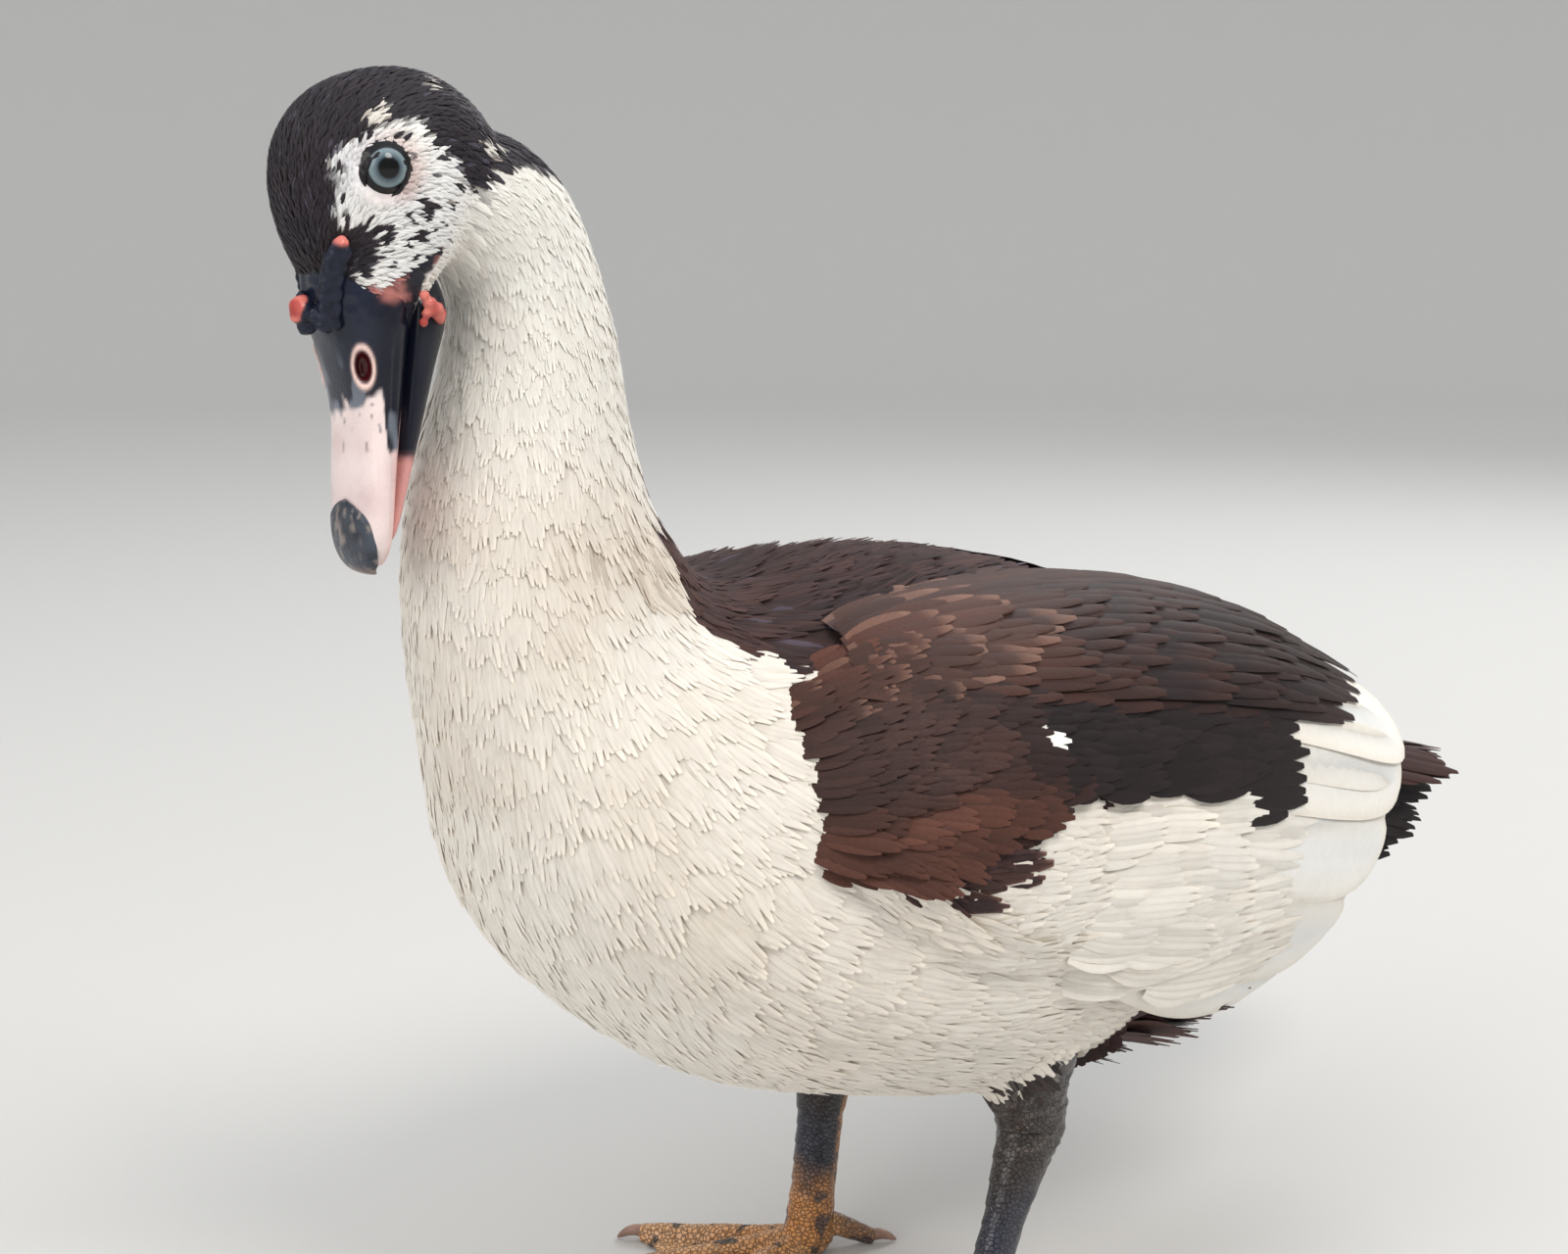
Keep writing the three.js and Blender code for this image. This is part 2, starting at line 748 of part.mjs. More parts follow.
for (const { side, sign, hock, knuckle, turnedOut } of LEGS) {
  const turned = sign > 0 ? (made) => made : mirrored;
  const [hockLeft, hockAhead, hockUp] = hock;
  const [footLeft, footAhead] = knuckle;

  // The shank, from the knuckle up to the hock, with broad scutes that step out down its front.
  const shankRows = [];
  for (let i = 0; i <= 2 * SHANK.scutes; i++) {
    const share = i / (2 * SHANK.scutes);
    const [half, reach] = rowWhere(SHANK.girth, share).slice(1);
    const front = reach + (i % 2 ? 0 : SHANK.step);
    shankRows.push([
      mix(footLeft, hockLeft, share),
      mix(footAhead, hockAhead, share),
      mix(KNUCKLE.up, hockUp, share),
      half,
      front,
      reach,
    ]);
  }
  const shankForm = (grow = 0) =>
    neckForm(shankRows, { around: 10, along: shankRows.length - 1, grow });
  const thighRows = [
    [hockLeft - 2, hockAhead + 6, hockUp + 46, 24, 34, 34],
    [hockLeft - 1, hockAhead + 4, hockUp + 26, 20, 28, 28],
    [hockLeft, hockAhead + 2, hockUp + 12, 13.5, 17, 17],
    [hockLeft, hockAhead, hockUp + 3, 10, 11.5, 11.5],
    [hockLeft, hockAhead, hockUp - 1, 8.8, 9.8, 9.8],
  ];
  const thigh = neckForm(thighRows, { around: 12, along: 5 })
    .subtract(trunkClear)
    .subtract(shankForm(GAP));

  // A point of the foot: degrees out from its own heading, how far along and how high.
  const spot = (turn, along, up) => {
    const angle = radians(turnedOut + turn);
    return [footLeft + along * Math.sin(angle), footAhead + along * Math.cos(angle), up];
  };
  const knuckleBall = (grow = 0) =>
    ball(KNUCKLE.radius + grow, at(...spot(0, 0, KNUCKLE.up)), [1, 1.05, 1], [10, 7]);

  // Each toe droops from its root to the floor, and its claw goes on from there.
  const toeSolids = [];
  const claws = [];
  for (const { name, turn, length, thick, up = KNUCKLE.up - 2 } of [...TOES, HIND_TOE]) {
    const row = (along, radius, height) => [...spot(turn, along, height), radius, radius, radius];
    const reach = length - CLAW.length;
    const droop = name === "hind" ? 1 : TOE.droop;
    const toeRows = [];
    for (let i = 0; i <= 2 * TOE.scutes; i++) {
      const share = i / (2 * TOE.scutes);
      const girth = mix(1.15, 0.74, share) * (1 + TOE.step * (i % 2 ? 0.5 : -0.5));
      toeRows.push(row(share * reach, girth * thick, mix(up, FLOOR + 0.6 * thick, share ** droop)));
    }
    const toeForm = (grow = 0) =>
      neckForm(toeRows, { around: 6, along: toeRows.length - 1, grow });
    const clawRows = [
      [-0.15, 1, 2.4],
      [0.35, 0.85, 2.6],
      [0.7, 0.55, 1.8],
      [1, 0.2, 0.6],
    ].map(([share, width, height]) =>
      row(reach + share * CLAW.length, width * CLAW.radius, FLOOR + height),
    );
    toeSolids.push(toeForm());
    claws.push([name, neckForm(clawRows, { around: 5, along: 3 }).subtract(toeForm(GAP))]);
  }

  // A web between two toes, its front edge hollowed.
  const webBetween = (first, second) => {
    const grid = (up) =>
      [0.08, 0.4, 0.75, 1].map((share) =>
        [0, 0.25, 0.5, 0.75, 1].map((across) => {
          const length = mix(first.length, second.length, across) - CLAW.length;
          const hollow = 1 - 0.2 * Math.sin(Math.PI * across) * share;
          return at(...spot(mix(first.turn, second.turn, across), share * hollow * length, up));
        }),
      );
    return sheet(grid(FLOOR + 0.6 + WEB_THICKNESS), grid(FLOOR + 0.6));
  };
  const webs = [webBetween(TOES[0], TOES[1]), webBetween(TOES[1], TOES[2])];
  const foot = union([knuckleBall(), ...toeSolids, ...webs]).intersect(aboveFloor);
  const shank = shankForm().subtract(union([knuckleBall(GAP), ...toeSolids]));
  add(`thigh_${side}`, turned(thigh), "white");
  add(`shank_${side}`, turned(shank), "leg");
  add(`foot_${side}`, turned(foot), "foot");
  for (const [name, claw] of claws)
    add(`claw_${name}_${side}`, turned(claw.intersect(aboveFloor)), "claw");
}

// The origin lies under the middle of the whole bird, on the floor.
const bounds = new THREE.Box3().setFromObject(duck, true);
const middle = bounds.getCenter(new THREE.Vector3());
duck.position.set(-middle.x, -middle.y, -bounds.min.z);

export default duck;
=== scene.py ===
"""A life-size muscovy duck: skin, feathers, bill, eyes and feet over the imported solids.

Shapes are worked out in the design's own millimetres (left is +X, ahead is -Y, up is +Z) and
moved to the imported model's frame, in metres, when a mesh is made.
"""

import math

import bpy
import numpy as np
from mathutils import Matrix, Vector
from mathutils.bvhtree import BVHTree


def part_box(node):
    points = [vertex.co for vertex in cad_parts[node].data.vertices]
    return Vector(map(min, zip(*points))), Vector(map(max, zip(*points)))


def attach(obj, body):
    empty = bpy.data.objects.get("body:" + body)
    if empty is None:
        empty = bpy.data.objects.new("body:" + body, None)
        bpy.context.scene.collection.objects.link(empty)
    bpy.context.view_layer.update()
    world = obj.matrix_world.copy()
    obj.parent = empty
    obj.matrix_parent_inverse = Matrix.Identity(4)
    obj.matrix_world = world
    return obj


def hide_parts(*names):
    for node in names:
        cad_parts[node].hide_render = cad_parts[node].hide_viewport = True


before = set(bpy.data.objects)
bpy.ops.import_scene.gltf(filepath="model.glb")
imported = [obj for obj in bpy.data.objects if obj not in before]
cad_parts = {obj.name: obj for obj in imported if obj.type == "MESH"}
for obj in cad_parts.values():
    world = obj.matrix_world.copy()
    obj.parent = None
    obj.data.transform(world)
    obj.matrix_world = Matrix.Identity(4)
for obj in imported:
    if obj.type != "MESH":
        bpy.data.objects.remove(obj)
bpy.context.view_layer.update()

MM = 0.001
FLOOR = 9
TORSO_BACK = 28.5  # how far behind the design's origin the middle of the torso's box is
torso_low, torso_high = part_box("torso")
SHIFT = np.array([0, (torso_low.y + torso_high.y) / 2 - TORSO_BACK * MM, -FLOOR * MM])

# The camera, at the photograph's place

AZIMUTH, PITCH = math.radians(50), math.radians(10)
CAMERA_OUT, CAMERA_ASIDE, CAMERA_UP = 570, -27, 315
SENSOR, LENS = 36, 47.66


def make_camera():
    sine, cosine = math.sin(AZIMUTH), math.cos(AZIMUTH)
    back = Vector((sine * math.cos(PITCH), -cosine * math.cos(PITCH), math.sin(PITCH)))
    spot = Vector((sine, -cosine, 0)) * CAMERA_OUT + Vector((cosine, sine, 0)) * CAMERA_ASIDE
    spot.z += CAMERA_UP
    data = bpy.data.cameras.new("camera")
    data.sensor_width, data.lens = SENSOR, LENS
    data.clip_start, data.clip_end = 0.02, 60
    camera = bpy.data.objects.new("camera", data)
    bpy.context.scene.collection.objects.link(camera)
    camera.location = spot * MM + Vector(SHIFT)
    camera.rotation_mode = "QUATERNION"
    camera.rotation_quaternion = (-back).to_track_quat("-Z", "Y")
    bpy.context.scene.camera = camera


make_camera()

# Tables of sections, the same as the solids': how far ahead the section is, the height of its
# middle, and its half width, rise and drop. The neck's have left, ahead, up, half width, front
# and back.

TRUNK = [
    [-198, 167, 4, 4, 4],
    [-190, 165, 19, 13, 17],
    [-168, 163, 37, 28, 34],
    [-138, 160, 53, 43, 54],
    [-100, 153, 66, 61, 64],
    [-55, 150, 74, 76, 70],
    [-10, 151, 77, 86, 73],
    [35, 156, 77, 84, 67],
    [75, 165, 72, 75, 63],
    [103, 177, 60, 63, 56],
    [125, 190, 43, 48, 46],
    [137, 198, 24, 28, 28],
    [141, 200, 5, 5, 5],
]
NECK = [
    [0, 84, 175, 30, 24, 24],
    [0, 94, 196, 48, 44, 38],
    [1, 107, 222, 39, 41, 39],
    [2, 115, 248, 31, 35, 32],
    [3, 117, 272, 26, 28, 27],
    [4, 117, 294, 22.5, 22.5, 23],
    [5, 121, 313, 20, 19, 21],
    [6, 131, 326, 19, 18, 21],
    [6, 143, 332, 17, 15, 15],
    [6, 150, 333, 4, 4, 4],
]
HEAD = [
    [-25, -2, 2, 2, 2],
    [-23.5, -2, 9, 9, 10],
    [-18.5, -1, 15.5, 16, 19],
    [-10, 0, 19, 22.5, 22.5],
    [-1, 0, 19.5, 25.5, 22],
    [8, -0.5, 18, 25.5, 20.5],
    [17, -1.5, 15.5, 22, 18],
    [25, -4, 13.3, 16, 16],
    [31, -8, 11, 9, 12],
    [33, -9, 3, 3, 3],
]
WING_SHELL = [
    [-250, 140, 14, 12, 22],
    [-200, 147, 40, 29, 44],
    [-150, 153, 63, 47, 66],
    [-100, 157, 76, 64, 78],
    [-50, 159, 80, 74, 82],
    [0, 161, 82, 75, 80],
    [40, 166, 81, 69, 80],
    [80, 172, 74, 60, 76],
    [108, 180, 60, 50, 66],
    [130, 186, 43, 38, 48],
]
TAIL_CORE = [
    [-184, 163, 17, 10, 14],
    [-202, 158, 20, 9, 12],
    [-222, 149, 17, 6, 8],
    [-238, 142, 11, 3, 4],
]
BILL_LENGTH = 62
UPPER_BILL = [
    [-3, 0, 12, 12.4, 9.5],
    [0.08 * BILL_LENGTH, 0, 12.3, 11.4, 9.5],
    [0.26 * BILL_LENGTH, -0.6, 11.6, 7.4, 8],
    [0.46 * BILL_LENGTH, -1.2, 11, 4.6, 6.2],
    [0.7 * BILL_LENGTH, -1.4, 11.5, 4.2, 4.2],
    [0.88 * BILL_LENGTH, -1.8, 10.6, 4, 3.2],
    [0.97 * BILL_LENGTH, -2.6, 6.3, 3, 2.6],
    [BILL_LENGTH, -3.2, 2, 1, 1],
]
LOWER_BILL = [
    [-3, -10, 7, 2, 8],
    [0.08 * BILL_LENGTH, -10, 10.8, 3, 9.6],
    [0.3 * BILL_LENGTH, -9.4, 10.2, 3, 6.8],
    [0.6 * BILL_LENGTH, -7.4, 9.4, 2, 4],
    [0.86 * BILL_LENGTH, -5.2, 8, 2, 1.8],
    [0.93 * BILL_LENGTH, -5, 2, 1, 1],
]
SQUARENESS = 2.2


# Arithmetic on arrays


def at(left, ahead, up):
    left, ahead, up = np.broadcast_arrays(
        np.asarray(left, float), np.asarray(ahead, float), np.asarray(up, float)
    )
    return np.stack([left, -ahead, up], -1)


def mix(a, b, share):
    return a + (b - a) * share


def smooth(low, high, value):
    t = np.clip((np.asarray(value, float) - low) / (high - low), 0, 1)
    return t * t * (3 - 2 * t)


def unit(vectors):
    return vectors / np.maximum(np.linalg.norm(vectors, axis=-1, keepdims=True), 1e-9)


def hump(*parts):
    """1 where every part is 0, falling smoothly to nothing where one of them is 2 or more."""
    return np.exp(-sum(part**2 for part in parts))


def curve(value, table):
    """The second number of a table's rows, between them, where the first has the given values."""
    return np.interp(value, *zip(*table))


def tinge(tone, other, share):
    """Colours moved toward other colours, by a share at each place."""
    return mix(tone, other, np.asarray(share)[..., None])


def colour(text):
    """A linear colour from its web name."""
    values = np.array([int(text[i : i + 2], 16) / 255 for i in (1, 3, 5)])
    return np.where(values < 0.04045, values / 12.92, ((values + 0.055) / 1.055) ** 2.4)


def noise(points, size, seed=0):
    """Smooth noise from 0 to 1 at points, with lumps of a size in millimetres."""
    spots = np.asarray(points, float) / size + 31.7
    cell = np.floor(spots).astype(np.int64)
    t = spots - cell
    t = t * t * (3 - 2 * t)
    total = np.zeros(spots.shape[:-1])
    for corner in range(8):
        offset = np.array([corner & 1, corner >> 1 & 1, corner >> 2])
        x, y, z = np.moveaxis(cell + offset, -1, 0)
        mixed = (x * 73856093 ^ y * 19349663 ^ z * 83492791 ^ (seed * 2654435761)) & 0xFFFFFFFF
        mixed = ((mixed ^ (mixed >> 15)) * 2246822519) & 0xFFFFFFFF
        mixed = ((mixed ^ (mixed >> 13)) * 3266489917) & 0xFFFFFFFF
        share = np.prod(np.where(offset == 1, t, 1 - t), -1)
        total += share * ((mixed ^ (mixed >> 16)) / 0xFFFFFFFF)
    return total


def row_at(table, share):
    """Rows of a table at shares of its length, on a smooth curve through all its rows."""
    table = np.asarray(table, float)
    place = np.clip(np.atleast_1d(share), 0, 1) * (len(table) - 1)
    i = np.minimum(place.astype(int), len(table) - 2)
    t = (place - i)[:, None]
    p0, p1, p2, p3 = (table[np.clip(i + k, 0, len(table) - 1)] for k in (-1, 0, 1, 2))
    bend = (2 * p0 - 5 * p1 + 4 * p2 - p3) * t**2
    return (2 * p1 + (p2 - p0) * t + bend + (3 * p1 - p0 - 3 * p2 + p3) * t**3) / 2


def row_where(table, value):
    """Rows of a table whose first number has the given values."""
    rows = row_at(table, np.linspace(0, 1, 1501))
    return np.stack([np.interp(value, rows[:, 0], rows[:, k]) for k in range(rows.shape[1])], -1)


def bulge(value, squareness=SQUARENESS):
    return np.sign(value) * np.abs(value) ** (2 / squareness)


def rot_x(points, degrees):
    c, s = math.cos(math.radians(degrees)), math.sin(math.radians(degrees))
    x, y, z = np.moveaxis(np.asarray(points, float), -1, 0)
    return np.stack([x, y * c - z * s, y * s + z * c], -1)


HEAD_SPOT = at(6, 155, 333)
HEAD_PITCH = 62
BILL_SPOT = at(0, 24, -5)
BILL_PITCH = 25


def head_to_body(points):
    return rot_x(points, HEAD_PITCH) + HEAD_SPOT


def bill_to_body(points):
    return head_to_body(rot_x(points, BILL_PITCH) + BILL_SPOT)


def in_head(points):
    """How far to the left, ahead and up of the head's own middle points lie."""
    local = rot_x(np.asarray(points, float) - HEAD_SPOT, -HEAD_PITCH)
    return local[..., 0], -local[..., 1], local[..., 2]


def on_shell(ahead, angle, lift, table=WING_SHELL, squareness=SQUARENESS):
    """Points on the wing's shell, from how far ahead they are, their angle in degrees down from
    the top of the back, and their lift over the shell."""
    ahead, angle, lift = np.broadcast_arrays(
        np.asarray(ahead, float), np.asarray(angle, float), np.asarray(lift, float)
    )
    _, centre, half, rise, drop = np.moveaxis(row_where(table, ahead), -1, 0)
    turn = np.radians(angle)
    reach = np.where(np.cos(turn) > 0, rise, drop)
    return at(
        (half + lift) * bulge(np.sin(turn), squareness),
        ahead,
        centre + (reach + lift) * bulge(np.cos(turn), squareness),
    )


def shell_place(points):
    """How far ahead a point is, and its angle on the wing's shell."""
    ahead = -points[..., 1]
    _, centre, half, rise, drop = np.moveaxis(row_where(WING_SHELL, ahead), -1, 0)
    height = points[..., 2] - centre
    x = np.abs(points[..., 0] / half) ** (SQUARENESS / 2)
    z = np.abs(height / np.where(height > 0, rise, drop)) ** (SQUARENESS / 2) * np.sign(height)
    return ahead, np.degrees(np.arctan2(x, z))


# Meshes


def write_points(mesh, points):
    """Places a mesh's vertices at points in millimetres."""
    spots = np.asarray(points) * MM + SHIFT
    mesh.vertices.foreach_set("co", spots.ravel().astype(np.float32))


def edges_of(mesh):
    """The two vertices of each edge."""
    edges = np.zeros(len(mesh.edges) * 2, np.int32)
    mesh.edges.foreach_get("vertices", edges)
    return edges.reshape(-1, 2)


def new_object(name, points, faces):
    """A smooth object from points in millimetres and a list of arrays of faces."""
    mesh = bpy.data.meshes.new(name)
    mesh.vertices.add(len(points))
    write_points(mesh, points)
    faces = [np.asarray(group, np.int32) for group in faces if len(group)]
    loops = np.concatenate([group.ravel() for group in faces])
    sizes = np.concatenate([np.full(len(group), group.shape[1]) for group in faces])
    mesh.loops.add(len(loops))
    mesh.loops.foreach_set("vertex_index", loops)
    mesh.polygons.add(len(sizes))
    mesh.polygons.foreach_set("loop_start", np.concatenate([[0], np.cumsum(sizes)[:-1]]))
    mesh.update(calc_edges=True)
    mesh.shade_smooth()
    made = bpy.data.objects.new(name, mesh)
    bpy.context.scene.collection.objects.link(made)
    return made


def points_of(thing):
    """The vertices of an object, in the design's millimetres."""
    spots = np.zeros(len(thing.data.vertices) * 3, np.float32)
    thing.data.vertices.foreach_get("co", spots)
    return (spots.reshape(-1, 3) - SHIFT) / MM


def paint(thing, colours):
    """Stores a colour at each vertex of an object."""
    layer = thing.data.color_attributes.new("Tint", "FLOAT_COLOR", "POINT")
    full = np.ones((len(thing.data.vertices), 4), np.float32)
    full[:, :3] = np.clip(colours, 0, 1)
    layer.data.foreach_set("color", full.ravel())


def map_uv(thing, name, per_vertex):
    """Adds a UV map from a place at each vertex."""
    layer = thing.data.uv_layers.new(name=name)
    loops = np.zeros(len(thing.data.loops), np.int32)
    thing.data.loops.foreach_get("vertex_index", loops)
    layer.data.foreach_set("uv", per_vertex[loops].ravel().astype(np.float32))


def ring_faces(count, around):
    """Quads between each ring of points and the next."""
    k = np.arange(around)
    following = (k + 1) % around
    starts = (np.arange(count - 1) * around)[:, None]
    return np.stack(
        [starts + k, starts + following, starts + around + following, starts + around + k], -1
    ).reshape(-1, 4)


def tube(rings):
    """Points and faces of a closed body through rings of points, of shape (rings, around, 3)."""
    count, around, _ = rings.shape
    points = np.concatenate([rings.reshape(-1, 3), rings[[0, -1]].mean(1)])
    k = np.arange(around)
    following = (k + 1) % around
    last = (count - 1) * around
    caps = np.concatenate(
        [
            np.stack([np.full(around, last + around), following, k], -1),
            np.stack([np.full(around, last + around + 1), last + k, last + following], -1),
        ]
    )
    return face_out(points, [ring_faces(count, around), caps])


def face_out(points, faces):
    """The same points and faces, turned over if the body is inside out."""
    volume = 0
    for group in faces:
        a, b, c = (points[group[:, k]] for k in range(3))
        volume += np.einsum("ij,ij->i", a - points.mean(0), np.cross(b - a, c - a)).sum()
    return points, [group[:, ::-1] if volume < 0 else group for group in faces]


def joined(bodies):
    """Points and faces of several bodies as one list of each."""
    points, faces, count = [], [], 0
    for spots, groups in bodies:
        points.append(spots)
        faces += [group + count for group in groups]
        count += len(spots)
    return np.concatenate(points), faces


def trunk_rings(table, around, along, grow=0.0, squareness=SQUARENESS):
    """Rings through a level table of sections, moved outward all round by grow."""
    share = np.linspace(0, 1, along + 1)
    rows = row_at(table, share)
    turn = np.linspace(0, 2 * math.pi, around, endpoint=False)[None]
    ahead, centre, half, rise, drop = (rows[:, k : k + 1] for k in range(5))
    reach = np.where(np.cos(turn) > 0, rise + grow, drop + grow)
    return at(
        np.maximum(half + grow, 0.5) * bulge(np.sin(turn), squareness),
        ahead + grow * (2 * share[:, None] - 1),
        centre + np.maximum(reach, 0.5) * bulge(np.cos(turn), squareness),
    )


def neck_rings(table, around, along, grow=0.0):
    """Rings square to a bent line: rows of left, ahead, up, half width, front and back."""
    share = np.linspace(0, 1, along + 1)
    rows = row_at(table, share)
    centre = at(*rows[:, :3].T)
    ahead = at(*row_at(table, share + 0.01)[:, :3].T)
    behind = at(*row_at(table, share - 0.01)[:, :3].T)
    line = unit(ahead - behind)
    side = unit(np.array([1.0, 0, 0]) - line * line[:, :1])
    face = unit(np.cross(side, line))
    turn = np.linspace(0, 2 * math.pi, around, endpoint=False)[None, :, None]
    half, front, back = (np.maximum(rows[:, k] + grow, 0.4)[:, None, None] for k in (3, 4, 5))
    reach = np.where(np.cos(turn) > 0, back, front)
    middle = centre + line * (grow * (2 * share - 1))[:, None]
    return (
        middle[:, None]
        + side[:, None] * half * np.sin(turn)
        - face[:, None] * reach * np.cos(turn)
    )


def ellipsoid(centre, radii, around, along, lumps=0.0, seed=0):
    """A closed rounded lump, in the frame of its centre."""
    polar = np.linspace(0.04, math.pi - 0.04, along + 1)[:, None]
    turn = np.linspace(0, 2 * math.pi, around, endpoint=False)[None]
    shape = np.stack(
        [np.sin(polar) * np.cos(turn), np.sin(polar) * np.sin(turn), np.cos(polar) + 0 * turn], -1
    )
    rough = 1 + lumps * (noise(shape * 10, 6, seed) - 0.5)
    return tube(shape * rough[..., None] * np.asarray(radii) + np.asarray(centre))


def remeshed(name, bodies, voxel, passes):
    """One smooth closed object round several closed bodies."""
    thing = new_object(name, *joined(bodies))
    remesh = thing.modifiers.new("remesh", "REMESH")
    remesh.mode = "VOXEL"
    remesh.voxel_size = voxel * MM
    remesh.use_smooth_shade = True
    relax = thing.modifiers.new("relax", "SMOOTH")
    relax.factor = 0.5
    relax.iterations = passes
    graph = bpy.context.evaluated_depsgraph_get()
    mesh = bpy.data.meshes.new_from_object(thing.evaluated_get(graph))
    old = thing.data
    thing.modifiers.clear()
    thing.data = mesh
    bpy.data.meshes.remove(old)
    mesh.name = name
    mesh.shade_smooth()
    return thing


def relax_near(thing, weight, passes):
    """Smooths the vertices of an object, each by its own weight from 0 to 1."""
    a, b = edges_of(thing.data).T
    spots = points_of(thing)
    degree = np.bincount(np.concatenate([a, b]), minlength=len(spots))[:, None]
    for _ in range(passes):
        total = np.zeros_like(spots)
        for k in range(3):
            total[:, k] = np.bincount(a, spots[b, k], len(spots))
            total[:, k] += np.bincount(b, spots[a, k], len(spots))
        spots = mix(spots, total / degree, 0.6 * weight[:, None])
    write_points(thing.data, spots)
    thing.data.update()


# Legs: the hock and the knuckle of the toes, and how far the foot is turned out

LEGS = {
    "left": {"sign": 1, "hock": (42, -20, 76), "knuckle": (45, 8), "out": 8},
    "right": {"sign": -1, "hock": (42, -18, 78), "knuckle": (42, -10), "out": 22},
}
KNUCKLE_UP = FLOOR + 5.6
SIDES = (("left", 1), ("right", -1))
MIRROR = np.array([-1.0, 1, 1])


def side_of(points, sign):
    """Points of the left side, or their mirror image on the right."""
    return points if sign > 0 else points * MIRROR


def thigh_rings(leg, grow):
    """The feathered thigh, down to the hock."""
    left, ahead, up = leg["hock"]
    rows = [
        [left - 2, ahead + 6, up + 48, 24, 34, 34],
        [left - 1, ahead + 4, up + 33, 19, 26, 26],
        [left, ahead + 2, up + 20, 13.5, 15.5, 15.5],
        [left, ahead, up + 8, 10.6, 12, 12],
        [left, ahead, up - 1, 9.2, 10.4, 10.4],
    ]
    return side_of(neck_rings(rows, 24, 20, grow), leg["sign"])


# Skin

# The flesh of the folded wing: how far ahead, its first and last angle, and its lift over the shell
PAD = [
    [78, 44, 78, -6],
    [70, 38, 90, -1],
    [58, 34, 97, 3],
    [44, 31, 103, 4.4],
    [22, 26, 109, 2.6],
    [-5, 19, 112, 0],
    [-30, 14, 114, -2.6],
]
PAD_EDGE, PAD_UNDER = -9, -20
# How far inside the solids the skin lies, by the depth of the coat
TRUNK_DEPTH, NECK_DEPTH, HEAD_DEPTH, TAIL_DEPTH, THIGH_DEPTH = 4.6, 2.6, 0.8, 1.5, 2
SKIN_VOXEL = 2.0


def pad_body(sign):
    """The flesh of the folded wing, closed, from its front to the middle of its back."""
    rows = np.array(PAD, float)
    share = np.linspace(0, 1, 13)
    full = np.sin(math.pi * share) ** 0.4
    rings = []
    for ahead, first, last, top in rows:
        angle = mix(first, last, share)
        upper = on_shell(ahead, angle, mix(PAD_EDGE, top, full))
        lower = on_shell(ahead, angle[::-1], PAD_UNDER)
        rings.append(np.concatenate([upper, lower]))
    return tube(side_of(np.array(rings), sign))


def make_skin():
    """One closed skin over all the flesh, smooth where the parts meet."""
    bodies = [
        tube(trunk_rings(TRUNK, 48, 50, -TRUNK_DEPTH)),
        tube(neck_rings(NECK, 48, 50, -NECK_DEPTH)),
        tube(head_to_body(trunk_rings(HEAD, 48, 40, -HEAD_DEPTH))),
        tube(trunk_rings(TAIL_CORE, 24, 12, -TAIL_DEPTH)),
    ]
    bodies += [tube(thigh_rings(leg, -THIGH_DEPTH)) for leg in LEGS.values()]
    bodies += [pad_body(sign) for _, sign in SIDES]
    skin = remeshed("skin", bodies, SKIN_VOXEL, 3)
    spots = points_of(skin)
    height, ahead = spots[:, 2], -spots[:, 1]
    neck_root = hump((height - 218) / 26) * smooth(60, 80, ahead)
    throat = hump((height - 312) / 9) * smooth(140, 128, ahead)
    hips = hump((height - 105) / 16) * smooth(60, 20, np.abs(ahead + 20))
    relax_near(skin, np.clip(neck_root + 0.5 * throat + hips, 0, 1), 40)
    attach(skin, "root")
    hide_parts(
        "torso", "neck_lower", "neck_upper", "head", "thigh_left", "thigh_right"
    )
    return skin


skin = make_skin()


def surface_of(thing):
    """A search tree over an object's surface in millimetres, with each face's smooth normal, area
    and corners."""
    spots = points_of(thing)
    mesh = thing.data
    polygons = [tuple(p.vertices) for p in mesh.polygons]
    normals = np.zeros(len(spots) * 3, np.float32)
    mesh.vertices.foreach_get("normal", normals)
    normals = normals.reshape(-1, 3)
    sides = np.array([unit(normals[list(p)].sum(0)) for p in polygons])
    areas = np.zeros(len(polygons), np.float32)
    mesh.polygons.foreach_get("area", areas)
    return {
        "tree": BVHTree.FromPolygons([Vector(p) for p in spots], polygons),
        "normals": sides,
        "areas": areas,
        "corners": [spots[list(p)] for p in polygons],
    }


surface = surface_of(skin)


def settle(points):
    """The nearest points of the skin, and its normals there."""
    found = np.empty((len(points), 3))
    face = np.empty(len(points), int)
    nearest = surface["tree"].find_nearest
    for i, point in enumerate(points):
        spot, _, index, _ = nearest(Vector(point))
        found[i] = spot
        face[i] = index
    return found, surface["normals"][face]


# The lie of the coat: places with the way that the feathers there point, and how far each rules

